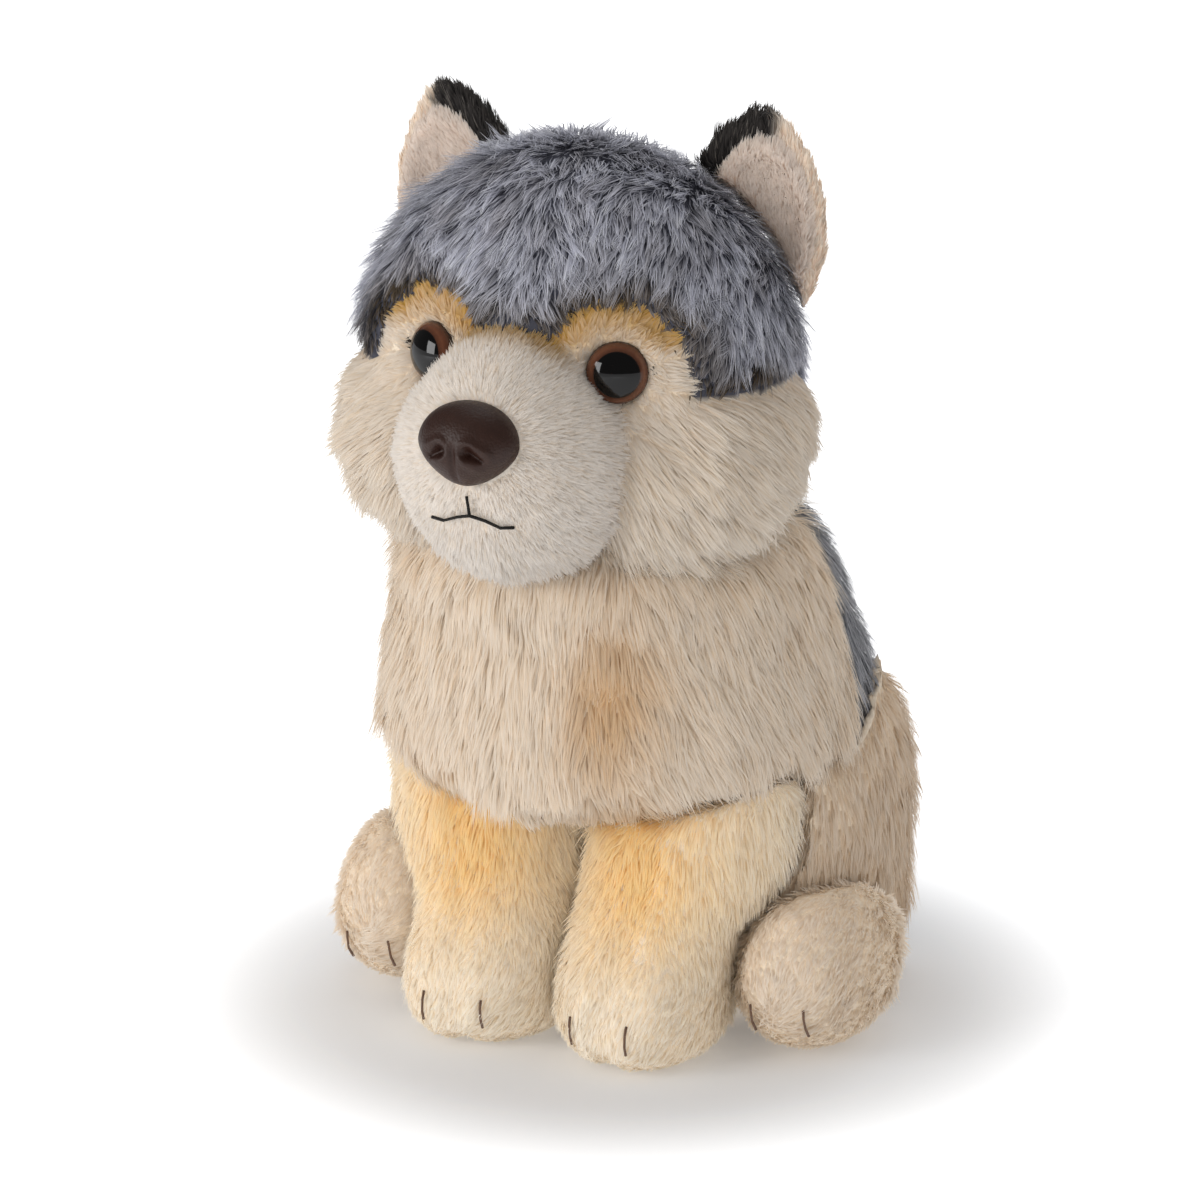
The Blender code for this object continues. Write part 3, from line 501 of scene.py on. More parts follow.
def pile(name, part, panel, count, finish, comb, dye, length, width, lift, fall=0.0, lock=0.006,
         gather=0.4, swirl=0.3, ruffle=0.12, tones=0.04, tuft=0.12, keep=None, spread=1.0, seed=1):
    """Plants the pile of one panel.

    comb gives the way that hair lies at a place. dye gives root and tip colours, with roots darker
    partly by dye and partly as painted shade deep in the pile, a second pair, and how far that pair
    replaces the first. lift is how steeply hair leaves the skin in radians, and fall how much its end
    hangs down. keep thins the pile where it is below 1, and spread is how many more places are tried where it keeps
    few.
    """
    rng = np.random.default_rng(seed)
    spots, ways = roots(part, panel, int(count * SPARE * spread), rng)
    if keep is not None:
        kept = keep(spots) > rng.random(len(spots))
        spots, ways = spots[kept][: int(count * SPARE)], ways[kept][: int(count * SPARE)]
    kept = open_to_air(part, spots, ways)
    spots, ways = spots[kept][:count], ways[kept][:count]
    count = len(spots)
    leaders = lock_leaders(spots, lock)
    sway = drift(spots[leaders] * 0.6 + spots * 0.4, 60.0, seed)
    wanted = unit(comb(spots, ways)) + swirl * sway + ruffle * rng.normal(size=(count, 3))
    flat = unit(wanted - ways * (wanted * ways).sum(axis=1, keepdims=True))
    rise = np.clip(lift * (1 + 0.30 * rng.normal(size=(count, 1))), 0.05, 1.5)
    start = unit(flat * np.cos(rise) + ways * np.sin(rise))
    end = unit(flat * np.cos(rise * 0.4) + ways * np.sin(rise * 0.4) - fall * UP)
    reach = (length(spots) if callable(length) else np.full(count, length))[:, None, None]
    under = rng.random((count, 1, 1)) < 0.20
    reach = reach * np.clip(1 + 0.15 * rng.normal(size=(count, 1, 1)), 0.5, 1.6) * np.where(under, 0.65, 1.0)
    reach = reach * np.clip(1 + tuft * rng.normal(size=(count, 1, 1)), 0.6, 1.4)[leaders]
    reach = reach * (0.35 + 0.65 * step(0.001, 0.012, spots[:, 2]))[:, None, None]
    bend = rng.normal(size=(count, 1, 3)) * ruffle * 0.3

    made, side, along = blades(name, count)
    t = along[None, :, None]
    line = start[:, None, :] * (t - t * t / 2) + end[:, None, :] * (t * t / 2) + bend * t * t
    path = spots[:, None, :] + reach * line
    pull = gather * (0.6 + 0.8 * rng.random((count, 1, 1)))
    path = path + (path[leaders] - path) * np.clip(pull, 0, 0.95) * t**1.5
    face = unit(ways + 0.15 * rng.normal(size=(count, 3)))
    across = unit(np.cross(start + end, face))[:, None, :]
    slim = np.where(along < 0.25, 1.0, 0.8) * side / 2
    thick = width * (0.7 + 0.6 * rng.random((count, 1, 1)))
    path = path + across * thick * slim[None, :, None]
    path[:, :, 2] = np.maximum(path[:, :, 2], 0.0002)
    mesh = made.data
    mesh.vertices.foreach_set("co", path.reshape(-1))

    root, tip, root2, tip2, share = dye(spots)
    tone = rng.integers(0, TONES, count)
    level = np.clip(np.rint(share * (DYES - 1) + rng.normal(size=count) * 0.35), 0, DYES - 1).astype(int)
    mix = (level / (DYES - 1))[:, None, None]
    # Painted shade in part: the darker roots are partly the hair's own dye and partly stand for the shade deep in the
    # pile
    first = np.array(linear(root)) * (1 - t) + np.array(linear(tip)) * t
    second = np.array(linear(root2)) * (1 - t) + np.array(linear(tip2)) * t
    shade = (1 + tones * (2 * tone / (TONES - 1) - 1))[:, None, None]
    colour = np.minimum((first * (1 - mix) + second * mix) * shade, 1.0)
    rgba = np.concatenate([colour, np.ones(colour.shape[:2] + (1,))], axis=2)
    stain = mesh.attributes.new("dye", "FLOAT_COLOR", "POINT")
    stain.data.foreach_set("color", rgba.reshape(-1).astype(np.float32))

    corner = np.empty(len(mesh.loops), np.int32)
    mesh.loops.foreach_get("vertex_index", corner)
    hair, place = corner // len(side), corner % len(side)
    u = (tone[hair] + 0.5 + 0.42 * side[place]) / TONES
    v = (level[hair] + 0.06 + 0.88 * along[place]) / DYES
    sheet = mesh.uv_layers.new(name="OFBake")
    sheet.data.foreach_set("uv", np.stack([u, v], axis=1).reshape(-1).astype(np.float32))

    mesh.materials.clear()
    mesh.materials.append(finish)
    mesh.update()
    mesh.shade_smooth()
    # Shaded mostly as the skin below it, because real hair is too fine to catch light by itself
    soft = unit(ways[:, None, :] + 0.08 * across * side[None, :, None] + 0.04 * rng.normal(size=(count, 1, 3)))
    mesh.normals_split_custom_set_from_vertices(soft.reshape(-1, 3).tolist())
    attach(made, "root")
    return made


def pile_material(name, roughness, sheen):
    """Dyed acrylic pile: dull, with a soft gleam along the hair and small differences of dye."""
    made, tree, output = blank_material(name)
    stain = add(tree, "ShaderNodeAttribute", {"attribute_name": "dye"})
    place = add(tree, "ShaderNodeTexCoord")
    # Uneven dyeing shows as faint blotches of about 4 mm
    blotch = add(tree, "ShaderNodeTexNoise", None, Vector=place.outputs["Object"], Scale=260.0, Detail=2.0)
    value = add(tree, "ShaderNodeMapRange", None, Value=blotch.outputs[0], To_Min=0.95, To_Max=1.05)
    tint = add(tree, "ShaderNodeHueSaturation", None, Value=value.outputs[0], Color=stain.outputs["Color"])
    shader = add(tree, "ShaderNodeBsdfPrincipled", None, Base_Color=tint.outputs[0])
    shader.inputs["Roughness"].default_value = roughness
    shader.inputs["Specular IOR Level"].default_value = 0.2
    shader.inputs["Sheen Weight"].default_value = sheen
    shader.inputs["Sheen Roughness"].default_value = 0.5
    # Light also passes through the thin hair, which is why pile has hardly any hard shadow in it
    glow = add(tree, "ShaderNodeBsdfTranslucent", None, Color=tint.outputs[0])
    both_ways = add(tree, "ShaderNodeMixShader", None, _0=THROUGH, _1=shader.outputs[0], _2=glow.outputs[0])
    rays = add(tree, "ShaderNodeLightPath")
    thin = add(tree, "ShaderNodeMath", {"operation": "MULTIPLY"}, _0=rays.outputs["Is Shadow Ray"], _1=SHEER)
    clear = add(tree, "ShaderNodeBsdfTransparent")
    sheer = add(tree, "ShaderNodeMixShader", None, _0=thin.outputs[0], _1=both_ways.outputs[0], _2=clear.outputs[0])
    tree.links.new(sheer.outputs[0], output.inputs["Surface"])
    return made


THROUGH = 0.45
SHEER = 0.58
long_pile = pile_material("long acrylic pile", 0.65, 0.15)
short_pile = pile_material("short acrylic velour", 0.75, 0.20)


def toward(*way):
    """Hair that all lies one way."""
    return lambda spots, ways: np.tile(np.array(way, float), (len(spots), 1))


# The chest and shoulders: the longest pile, cream, which hangs over the tops of the legs in
# pointed locks. It is parted on the wolf's left, where it is short and shows its warm roots.

NECK = np.array((0.0, -0.018, 0.139))
HEM_LEVEL = 0.071
HEM_RISE = 0.010
PARTING = np.array((0.021, -0.060, 0.100))


def chest_parting(spots):
    return spot_at(spots, PARTING, (0.009, 0.030, 0.020))


def chest_comb(spots, ways):
    out = spots - NECK
    out[:, 2] = 0
    beside = step(PARTING[0] - 0.004, PARTING[0] + 0.010, spots[:, 0]) * step(0.02, -0.02, spots[:, 1])
    return -UP + 3.0 * out + 0.55 * beside[:, None] * np.array((1.0, 0.0, 0.0))


def chest_length(spots):
    """Long, but ending at the hem, which is higher over the legs than between them."""
    over_leg = step(0.006, 0.020, np.abs(spots[:, 0]))
    room = spots[:, 2] - HEM_LEVEL - HEM_RISE * over_leg
    free = 0.0125 * (1 - 0.45 * chest_parting(spots))
    least = 0.0062 + 0.0030 * step(0.028, 0.040, np.abs(spots[:, 0]))
    return np.clip(least + 0.8 * np.maximum(room, 0), least, np.maximum(free, least))


def chest_dye(spots):
    over_leg = np.exp(-(((np.abs(spots[:, 0]) - 0.026) / 0.012) ** 2)) * step(-0.030, -0.045, spots[:, 1])
    hem = step(0.078, 0.064, spots[:, 2]) * over_leg
    share = np.clip(0.03 + 0.75 * chest_parting(spots) + 0.65 * hem, 0, 1)
    return "ECDECA", "F4ECE1", "CFA873", "E8CA9A", share


def above_belly(spots):
    """Little pile is needed where the front legs are sewn on."""
    return np.where(spots[:, 2] > 0.060, 1.0, 0.45)


pile("chest_pile", "body", "chest_panel", 49500, long_pile, chest_comb, chest_dye, chest_length, 0.00055,
     0.36, fall=0.25, lock=0.0080, gather=0.30, tuft=0.18, keep=above_belly, seed=11)


# The back: grey long pile, pale at its tips, from the nape to the seat, and the plain seat.


def back_dye(spots):
    return "6A6B70", "DEDEE2", "2C2C30", "949498", 0.10 + 0.4 * step(0.120, 0.140, spots[:, 2])


def down_and_out(spots, ways):
    return -UP + 0.15 * ways


def plain_cream(spots):
    return "E6D0AE", "F6E8D2", "D2B083", "EBD3AC", np.full(len(spots), 0.2)


pile("back_pile", "body", "back_panel", 19000, long_pile, down_and_out, back_dye, 0.0100, 0.00045, 0.40,
     fall=0.2, lock=0.0045, gather=0.5, tones=0.18, seed=12)
pile("seat_pile", "body", "seat_panel", 2500, short_pile, down_and_out, plain_cream, 0.004, 0.0005, 0.5,
     seed=13)


# The eyes: moulded acrylic buttons on a shank through the fabric. A black pupil and a brown
# iris are painted behind a clear polished dome.

EYE_TURN = math.radians(24)
EYE_TILT = math.radians(4)
EYE_HEIGHT = 0.0060
EYE_RADIUS = 0.0074
EYE_EDGE = 0.0012
PUPIL_SHARE = 0.72
SHANK_RADIUS = 0.0020
SHANK_LENGTH = 0.0120
DOME_STEPS = 16


def seat_of(node, out, height):
    """A moulded part's place: the middle of its back, with Z out of it and Y up."""
    turn = out.to_track_quat("Z", "Y").to_matrix()
    local = points_of(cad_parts[node].data) @ np.array(turn)
    base = local[:, 2].max() - height
    front = local[local[:, 2] > base - FILLING_ROOM]
    middle = (front.min(axis=0) + front.max(axis=0)) / 2
    centre = turn @ Vector((middle[0], middle[1], base))
    return Matrix.Translation(centre) @ turn.to_4x4()


def eye_material():
    """Polished acrylic over paint: black pupil, brown iris with fine streaks, dark rim."""
    made, tree, output = blank_material("polished acrylic over painted iris")
    ring = add(tree, "ShaderNodeAttribute", {"attribute_name": "ring"})
    place = add(tree, "ShaderNodeTexCoord")
    streak = add(tree, "ShaderNodeTexNoise", None, Vector=place.outputs["Object"], Scale=900.0, Detail=2.0)
    ramp = add(tree, "ShaderNodeValToRGB", None, Fac=ring.outputs["Fac"])
    bands = ramp.color_ramp.elements
    bands[0].position, bands[0].color = PUPIL_SHARE, (*linear("040303"), 1)
    bands[1].position, bands[1].color = PUPIL_SHARE + 0.03, (*linear("4A2C1E"), 1)
    for position, colour in ((0.86, "68402D"), (0.95, "5A3625"), (1.0, "24140D")):
        band = bands.new(position)
        band.color = (*linear(colour), 1)
    value = add(tree, "ShaderNodeMapRange", None, Value=streak.outputs[0], To_Min=0.85, To_Max=1.15)
    tint = add(tree, "ShaderNodeHueSaturation", None, Value=value.outputs[0], Color=ramp.outputs[0])
    shader = add(tree, "ShaderNodeBsdfPrincipled", None, Base_Color=tint.outputs[0], Roughness=0.06)
    shader.inputs["IOR"].default_value = 1.49
    tree.links.new(shader.outputs[0], output.inputs["Surface"])
    return made


def eye_button(side):
    sign = 1 if side == "left" else -1
    out = Vector((sign * math.sin(EYE_TURN), -math.cos(EYE_TURN), math.sin(EYE_TILT))).normalized()
    place = seat_of(f"eye_{side}", out, EYE_HEIGHT)
    bm = bmesh.new()
    profile = []
    for number in range(DOME_STEPS + 1):
        angle = math.radians(90) * (1 - number / DOME_STEPS)
        profile.append((EYE_RADIUS * math.cos(angle), EYE_EDGE + (EYE_HEIGHT - EYE_EDGE) * math.sin(angle)))
    profile += [(EYE_RADIUS, 0.0), (SHANK_RADIUS, 0.0), (SHANK_RADIUS, -SHANK_LENGTH), (0.0, -SHANK_LENGTH)]
    points = [bm.verts.new((radius, 0.0, height)) for radius, height in profile]
    edges = [bm.edges.new(pair) for pair in zip(points, points[1:])]
    bmesh.ops.spin(bm, geom=points + edges, cent=(0, 0, 0), axis=(0, 0, 1), angle=math.tau, steps=64, use_merge=True)
    bmesh.ops.remove_doubles(bm, verts=bm.verts, dist=0.000001)
    bmesh.ops.recalc_face_normals(bm, faces=bm.faces)
    mesh = bpy.data.meshes.new(f"eye_button_{side}")
    bm.to_mesh(mesh)
    bm.free()
    local = points_of(mesh)
    share = np.hypot(local[:, 0], local[:, 1]) / EYE_RADIUS
    ring = mesh.attributes.new("ring", "FLOAT", "POINT")
    ring.data.foreach_set("value", share.astype(np.float32))
    mesh.transform(place)
    mesh.materials.append(eye_paint)
    mesh.shade_smooth()
    mesh.set_sharp_from_angle(angle=math.radians(50))
    made = new_object(f"eye_button_{side}", mesh)
    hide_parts(f"eye_{side}")
    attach(made, "root")
    return np.array(place.translation + out * EYE_EDGE)


eye_paint = eye_material()
both = ("left", "right")
eye_spots = {side: eye_button(side) for side in both}


def from_eye(spots, side):
    return np.linalg.norm(spots - eye_spots[side], axis=1)


def clear_of_eyes(spots):
    near = np.minimum(from_eye(spots, "left"), from_eye(spots, "right"))
    return (near > EYE_RADIUS - 0.0004).astype(float)


# The face: cream cheeks that start short beside the muzzle and the eyes, airbrushed ochre
# under the brows, and dark at the corners of the eyes.

MUZZLE_MIDDLE = np.array((0.0, -0.0625, 0.1575))
cap_tree = tree_of("head_cap")
face_trees = [tree_of("face_left"), tree_of("face_right"), tree_of("muzzle")]


def cheek_comb(side):
    def comb(spots, ways):
        out = unit(spots - MUZZLE_MIDDLE)
        near = np.exp(-((from_eye(spots, side) / 0.012) ** 2))[:, None]
        down = step(0.184, 0.168, spots[:, 2])[:, None]
        return out + np.array((0.0, 0.35, 0.0)) - 1.1 * UP * down + 2.2 * near * unit(spots - eye_spots[side])

    return comb


def cheek_length(side):
    def length(spots):
        off_eye = step(EYE_RADIUS, 0.024, from_eye(spots, side))
        low = step(0.185, 0.160, spots[:, 2])
        return 0.0026 + 0.0070 * off_eye * low + 0.0012 * off_eye

    return length


def brow_ochre(spots):
    """Where the cheeks are airbrushed under the brows."""
    to_cap = gap_to([cap_tree], spots)[:, 0]
    inner = step(0.044, 0.036, np.abs(spots[:, 0])) * step(0.180, 0.184, spots[:, 2])
    return np.exp(-((to_cap / 0.0062) ** 2)) * inner


def cheek_dye(side):
    sign = 1 if side == "left" else -1
    corners = (eye_spots[side] + np.array((sign * 0.0078, 0.0030, 0.0012)), eye_spots[side] + np.array((0.0006, 0, -0.0080)))

    def dye(spots):
        return "E4D7C6", "EFE8DE", "C49A48", "E6C27A", 0.03 + 0.95 * brow_ochre(spots)

    def corner_marks(spots):
        return sum(spot_at(spots, corner, (0.0011, 0.0040, 0.0011)) for corner in corners) * clear_of_eyes(spots)

    return dye, corner_marks


# Near-black hair at the outer and lower corner of each eye
def near_black_hair(spots):
    return "16110E", "33281F", "16110E", "33281F", np.zeros(len(spots))


for side in both:
    dye, corner_marks = cheek_dye(side)
    pile(f"cheek_pile_{side}", "head", f"face_{side}", 17000, long_pile, cheek_comb(side), dye,
         cheek_length(side), 0.00052, 0.38, fall=0.18, lock=0.0060, gather=0.35, keep=clear_of_eyes, seed=21)
    pile(f"eye_corner_pile_{side}", "head", f"face_{side}", 60, long_pile, cheek_comb(side), near_black_hair,
         0.0014, 0.00050, 0.12, gather=0.6, keep=corner_marks, spread=300, seed=22)


# The grey cap: long pile, lavender grey at the tip and slate at the root, which is partly its dye and partly painted
# shade between the locks.
# It is combed forward over the brows, where it ends in a nearly black fringe.


def cap_edge(spots):
    return gap_to(face_trees, spots).min(axis=1)


def cap_comb(spots, ways):
    ahead = step(0.010, -0.030, spots[:, 1])[:, None]
    return np.array((0.0, -0.75, 0.0)) * ahead - UP + 3.0 * spots * np.array((1.0, 0.0, 0.0))


def cap_dye(spots):
    patchy = 0.38 * drift(spots, 150.0, 3)[:, 0]
    fringe = step(0.013, 0.003, cap_edge(spots)) * step(-0.020, -0.042, spots[:, 1])
    fringe = fringe * (1 - 0.6 * np.exp(-((spots[:, 0] / 0.008) ** 2)))
    return "5A5B68", "F2F3FD", "1C1611", "76654F", np.clip(0.10 + patchy + 0.85 * fringe, 0, 1)


def cap_length(spots):
    return 0.0030 + 0.0066 * step(0.002, 0.011, cap_edge(spots))


def cap_keep(spots):
    return step(0.0005, 0.0030, cap_edge(spots)) * clear_of_eyes(spots)


pile("cap_pile", "head", "head_cap", 40000, long_pile, cap_comb, cap_dye, cap_length, 0.00040, 0.50,
     fall=0.05, lock=0.0024, gather=0.7, swirl=0.8, ruffle=0.22, tones=0.22, keep=cap_keep, seed=31)


# The muzzle: off-white velour of about 2 mm, brushed away from the nose, with a bare line
# where the mouth is stitched.

NOSE_TILT = math.radians(14)
NOSE_DEPTH = 0.0088
NOSE_WIDTH = 0.0250
NOSE_HEIGHT = 0.0198
nose_out = Vector((0, -math.cos(NOSE_TILT), math.sin(NOSE_TILT)))
nose_place = seat_of("nose", nose_out, NOSE_DEPTH)
NOSE_FRONT = np.array(nose_place.translation)
mouth_points = points_of(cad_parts["mouth_thread"].data)
mouth_tree = tree_of("mouth_thread")


def from_mouth(spots):
    return gap_to([mouth_tree], spots)[:, 0]


def muzzle_keep(spots):
    nose = (spots - NOSE_FRONT) / np.array((NOSE_WIDTH, NOSE_WIDTH, NOSE_HEIGHT)) * 2
    bare = (from_mouth(spots) > 0.0008) & (np.linalg.norm(nose, axis=1) > 0.97)
    return bare.astype(float) * clear_of_eyes(spots)


def muzzle_comb(spots, ways):
    return spots - NOSE_FRONT


def muzzle_dye(spots):
    stop = np.exp(-((gap_to([cap_tree], spots)[:, 0] / 0.0050) ** 2)) * step(0.170, 0.178, spots[:, 2])
    return "F0E8DE", "F6F1EB", "C49A48", "E6C27A", 0.02 + 0.95 * stop


def muzzle_length(spots):
    near = step(0.0010, 0.0050, from_mouth(spots))
    low = step(0.150, 0.130, spots[:, 2])
    return 0.0014 + 0.0016 * near + 0.0022 * low


pile("muzzle_pile", "head", "muzzle", 32500, short_pile, muzzle_comb, muzzle_dye, muzzle_length, 0.00042,
     0.80, lock=0.004, gather=0.1, swirl=0.2, ruffle=0.10, tones=0.04, keep=muzzle_keep, seed=41)


# The ears: charcoal pile behind, which wraps over the inner edge and the tip, and a pale
# pinkish lining in front.


def ear_middle(side):
    low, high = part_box(f"ear_back_{side}")
    return np.array((low + high) / 2)


def pale_rim(spots, side):
    """1 on the outer edge of an ear, where the pale fabric wraps round it."""
    sign = 1 if side == "left" else -1
    middle = ear_middle(side)
    beside = sign * (spots[:, 0] - middle[0]) - 0.18 * (spots[:, 2] - middle[2])
    front = step(-0.001, 0.003, beside) * step(0.010, 0.002, spots[:, 1] - middle[1])
    return np.maximum(front, step(0.010, 0.014, beside))


def make_ear_pile(side):
    sign = 1 if side == "left" else -1
    middle = ear_middle(side)

    def back_of_ear_dye(spots):
        return "1C1A1A", "4C4744", "EBDAC6", "FAF1E6", pale_rim(spots, side)

    def back_of_ear_length(spots):
        beside = sign * (spots[:, 0] - middle[0])
        return 0.0050 - 0.0022 * step(0.002, 0.012, beside)

    def lining_dye(spots):
        return "EADACC", "F8F0E8", "B9AEA5", "D6CBC2", 0.4 * step(0.222, 0.232, spots[:, 2])

    pile(f"ear_back_pile_{side}", f"ear_{side}", f"ear_back_{side}", 7000, long_pile, toward(0.10 * sign, 0.0, 1.0),
         back_of_ear_dye, back_of_ear_length, 0.00040, 0.45, lock=0.0028, gather=0.4, tones=0.12, seed=51)
    pile(f"ear_lining_pile_{side}", f"ear_{side}", f"ear_front_{side}", 7000, short_pile,
         toward(0.25 * sign, 0.0, 1.0), lining_dye, 0.0028, 0.00036, 0.75, lock=0.003, gather=0.15, seed=52)


for side in both:
    make_ear_pile(side)


# The front legs: medium cream pile, airbrushed ochre down from the chest and along the seam.

LEG_MIDDLE = 0.0263


def leg_dye(spots):
    front = step(-0.022, -0.040, spots[:, 1])
    upper = front * step(0.018, 0.050, spots[:, 2])
    centre = np.exp(-(((np.abs(spots[:, 0]) - LEG_MIDDLE + 0.004) / 0.014) ** 2))
    return "FAEFDC", "FEF9F0", "F8D694", "FFECBC", np.clip(0.04 + 0.80 * upper * centre + 0.20 * upper, 0, 1)


def leg_comb(spots, ways):
    low = step(0.034, 0.018, spots[:, 2])[:, None]
    return -UP + np.array((0.0, -0.9, 0.35)) * low


def leg_length(spots):
    return 0.0044 + 0.0026 * step(0.030, 0.060, spots[:, 2])


for side in both:
    for half, number in (("outer", 61), ("inner", 62)):
        pile(f"front_leg_{half}_pile_{side}", f"front_leg_{side}", f"front_leg_{half}_{side}", 10000, short_pile,
             leg_comb, leg_dye, leg_length, 0.00046, 0.55, fall=0.05, lock=0.0050, gather=0.25, seed=number)


# The haunches, the hind paws and the tail.


def paw_dye(spots):
    return "EFE2D1", "F7F0E6", "E0C49C", "EEDBBC", np.full(len(spots), 0.06)


def haunch_dye(spots):
    return "E2D2BD", "EFE5D8", "CFB48E", "E2CDAC", 0.12 + 0.3 * step(0.05, 0.02, spots[:, 2])


for side in both:
    pile(f"haunch_pile_{side}", f"haunch_{side}", f"haunch_{side}", 8500, long_pile, toward(0, -0.25, -1.0),
         haunch_dye, 0.0080, 0.00052, 0.42, fall=0.12, lock=0.0060, gather=0.3, seed=71)
    pile(f"rear_paw_pile_{side}", f"rear_paw_{side}", f"rear_paw_{side}", 8000, short_pile,
         toward(0, -1.0, -0.25), paw_dye, 0.0042, 0.00046, 0.60, lock=0.0050, gather=0.25, seed=72)
pile("tail_pile", "tail", "tail", 5000, long_pile, toward(0, 1.0, -0.1), back_dye, 0.0090, 0.00045, 0.38,
     fall=0.1, lock=0.0050, gather=0.5, tones=0.18, seed=73)

# The knitted backing under the pile takes the colour of the hair's roots.


def backing_material():
    """Polyester knit with a dense short underfur, in the root colour of its panel."""
    made, tree, output = blank_material("knitted backing with underfur")
    stain = add(tree, "ShaderNodeAttribute", {"attribute_name": "dye"})
    place = add(tree, "ShaderNodeTexCoord")
    # Underfur tufts are about 1 mm apart
    tuft = add(tree, "ShaderNodeTexNoise", None, Vector=place.outputs["Object"], Scale=1000.0, Detail=3.0)
    value = add(tree, "ShaderNodeMapRange", None, Value=tuft.outputs[0], To_Min=0.85, To_Max=1.15)
    tint = add(tree, "ShaderNodeHueSaturation", None, Value=value.outputs[0], Color=stain.outputs["Color"])
    bump = add(tree, "ShaderNodeBump", None, Strength=0.6, Distance=0.0004, Height=tuft.outputs[0])
    shader = add(tree, "ShaderNodeBsdfPrincipled", None, Base_Color=tint.outputs[0], Roughness=0.95)
    tree.links.new(bump.outputs[0], shader.inputs["Normal"])
    tree.links.new(shader.outputs[0], output.inputs["Surface"])
    return made


CREAM_BACKING = "EADBC6"
BACKING = {
    "back_panel": "6A6C75",
    "head_cap": "4A4B55",
    "muzzle": "F4E9DB",
    "ear_back_left": "353332",
    "ear_back_right": "353332",
    "ear_front_left": "E6D0BF",
    "ear_front_right": "E6D0BF",
    "tail": "6A6C75",
}
backing = backing_material()
for name, skin in skins.items():
    mesh = skin.data
    zone = np.empty(len(mesh.vertices), np.int32)
    mesh.attributes["panel"].data.foreach_get("value", zone)
    shades = np.array([(*linear(BACKING.get(panel, CREAM_BACKING)), 1.0) for panel in skin["panels"]])[zone]
    if name == "head":
        brow = (brow_ochre(points_of(mesh)) * (zone > 0))[:, None]
        shades = shades * (1 - brow) + np.array((*linear("C49A48"), 1.0)) * brow
    for side in both:
        if name == f"ear_{side}":
            rim = pale_rim(points_of(mesh), side)[:, None]
            shades = shades * (1 - rim) + np.array((*linear(BACKING["ear_front_left"]), 1.0)) * rim
    stain = mesh.attributes.new("dye", "FLOAT_COLOR", "POINT")
    stain.data.foreach_set("color", shades.reshape(-1).astype(np.float32))
    mesh.materials.clear()
    mesh.materials.append(backing)


# The nose: one dark brown moulding with a fine leather grain, comma nostrils and a groove
# below them.

NOSTRIL_AT = (0.0036, -0.0022)
NOSTRIL_TAIL = (0.0064, -0.0036)
NOSTRIL_SIZE = 0.0012
NOSTRIL_DEPTH = 0.0026
GROOVE_WIDTH = 0.0007
GROOVE_DEPTH = 0.0008
WING_HEIGHT = 0.0006


def nose_material():
    """Moulded ABS with a leather grain of about half a millimetre: satin, with a soft gleam."""
    made, tree, output = blank_material("grained ABS moulding")
    place = add(tree, "ShaderNodeTexCoord")
    grain = add(tree, "ShaderNodeTexVoronoi", {"feature": "SMOOTH_F1"}, Vector=place.outputs["Object"], Scale=1900.0)
    mottle = add(tree, "ShaderNodeTexNoise", None, Vector=place.outputs["Object"], Scale=500.0, Detail=3.0)
    value = add(tree, "ShaderNodeMapRange", None, Value=mottle.outputs[0], To_Min=0.8, To_Max=1.2)
    tint = add(tree, "ShaderNodeHueSaturation", None, Value=value.outputs[0], Color=(*linear("331D15"), 1))
    bump = add(tree, "ShaderNodeBump", {"invert": True}, Strength=0.30, Distance=0.0004, Height=grain.outputs[0])
    shader = add(tree, "ShaderNodeBsdfPrincipled", None, Base_Color=tint.outputs[0], Roughness=0.46)
    shader.inputs["Specular IOR Level"].default_value = 0.4
    tree.links.new(bump.outputs[0], shader.inputs["Normal"])
    tree.links.new(shader.outputs[0], output.inputs["Surface"])
    return made


def to_stroke(x, y, start, end):
    """How far points are from a straight stroke between two places."""
    along = np.array(end) - np.array(start)
    t = np.clip(((x - start[0]) * along[0] + (y - start[1]) * along[1]) / (along @ along), 0, 1)
    return np.hypot(x - start[0] - t * along[0], y - start[1] - t * along[1]), t


bm = bmesh.new()
bmesh.ops.create_uvsphere(bm, u_segments=112, v_segments=72, radius=1)
mesh = bpy.data.meshes.new("nose_moulding")
bm.to_mesh(mesh)
bm.free()
ball = points_of(mesh)
lower = np.clip(-ball[:, 1], 0, 1)
x = ball[:, 0] * NOSE_WIDTH / 2 * (1 - 0.30 * lower**1.6)
y = ball[:, 1] * NOSE_HEIGHT / 2
z = np.clip(ball[:, 2], -0.15, 1) * NOSE_DEPTH
gap, along = to_stroke(np.abs(x), y, NOSTRIL_AT, NOSTRIL_TAIL)
hollow = np.exp(-((gap / (NOSTRIL_SIZE * (1 - 0.55 * along))) ** 2)) * (1 - 0.45 * along)
wing = np.exp(-(((gap - 0.0024) / 0.0010) ** 2)) * step(0.0006, 0.0030, np.abs(x))
groove = np.exp(-((x / GROOVE_WIDTH) ** 2)) * step(0.0006, -0.0030, y)
front = step(0.25, 0.65, ball[:, 2])
z = z + front * (WING_HEIGHT * wing - NOSTRIL_DEPTH * hollow - GROOVE_DEPTH * groove)
mesh.vertices.foreach_set("co", np.stack([x, y, z], axis=1).reshape(-1))
mesh.update()
mesh.transform(nose_place)
mesh.materials.append(nose_material())
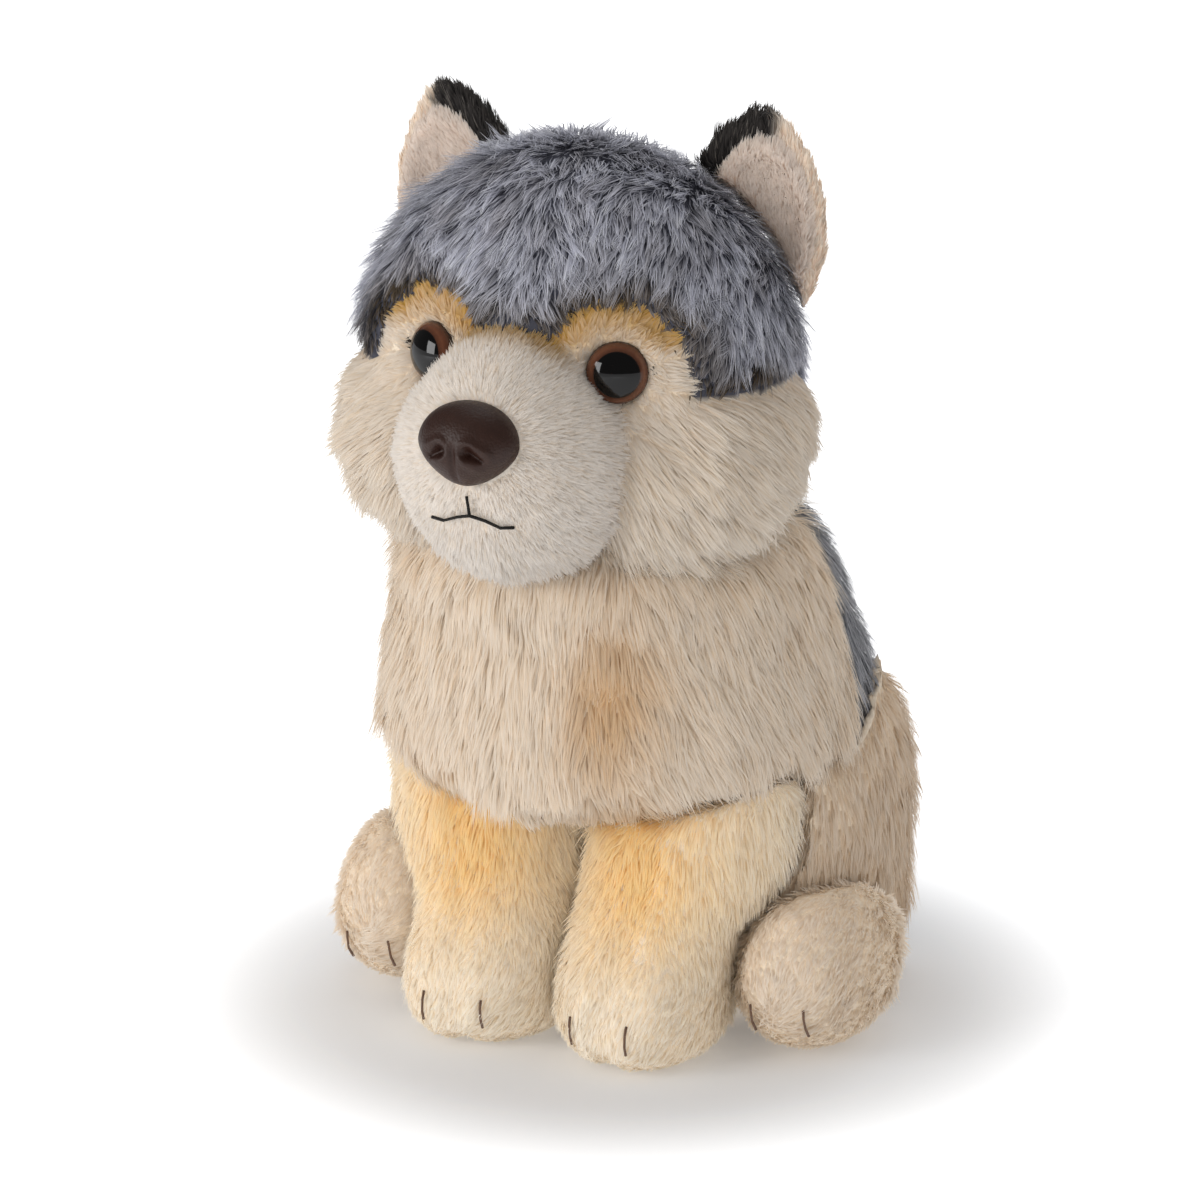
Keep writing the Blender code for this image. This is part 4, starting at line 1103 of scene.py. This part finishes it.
mesh.shade_smooth()
nose = new_object("nose_moulding", mesh)
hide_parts("nose")
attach(nose, "root")


# The washers behind the eyes and the nose, and the threads of the mouth and the toes.


def plain_material(name, colour, roughness, scale):
    """One colour with a fine grain of its own."""
    made, tree, output = blank_material(name)
    place = add(tree, "ShaderNodeTexCoord")
    grain = add(tree, "ShaderNodeTexNoise", None, Vector=place.outputs["Object"], Scale=scale, Detail=3.0)
    value = add(tree, "ShaderNodeMapRange", None, Value=grain.outputs[0], To_Min=0.8, To_Max=1.2)
    tint = add(tree, "ShaderNodeHueSaturation", None, Value=value.outputs[0], Color=(*linear(colour), 1))
    bump = add(tree, "ShaderNodeBump", None, Strength=0.4, Distance=0.0002, Height=grain.outputs[0])
    shader = add(tree, "ShaderNodeBsdfPrincipled", None, Base_Color=tint.outputs[0], Roughness=roughness)
    tree.links.new(bump.outputs[0], shader.inputs["Normal"])
    tree.links.new(shader.outputs[0], output.inputs["Surface"])
    return made


washer_plastic = plain_material("moulded nylon washer", "E6E6E2", 0.5, 800.0)
for node in ("eye_washer_left", "eye_washer_right", "nose_washer"):
    dress(node, washer_plastic)


THREAD_PULL = 0.00016


def stitch(node, name, finish):
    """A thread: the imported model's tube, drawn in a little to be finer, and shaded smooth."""
    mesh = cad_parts[node].data.copy()
    bm = bmesh.new()
    bm.from_mesh(mesh)
    bmesh.ops.remove_doubles(bm, verts=bm.verts, dist=0.000001)
    bm.normal_update()
    for point in bm.verts:
        point.co -= point.normal * THREAD_PULL
    bm.to_mesh(mesh)
    bm.free()
    mesh.materials.clear()
    mesh.materials.append(finish)
    mesh.shade_smooth()
    made = new_object(name, mesh)
    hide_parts(node)
    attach(made, "root")


black_thread = plain_material("black embroidery cotton", "17130F", 0.8, 2500.0)
brown_thread = plain_material("dark brown waxed thread", "6A5040", 0.7, 2500.0)
stitch("mouth_thread", "mouth_stitches", black_thread)
for node in sorted(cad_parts):
    if "toe_thread" in node:
        stitch(node, node.replace("thread", "stitch"), brown_thread)
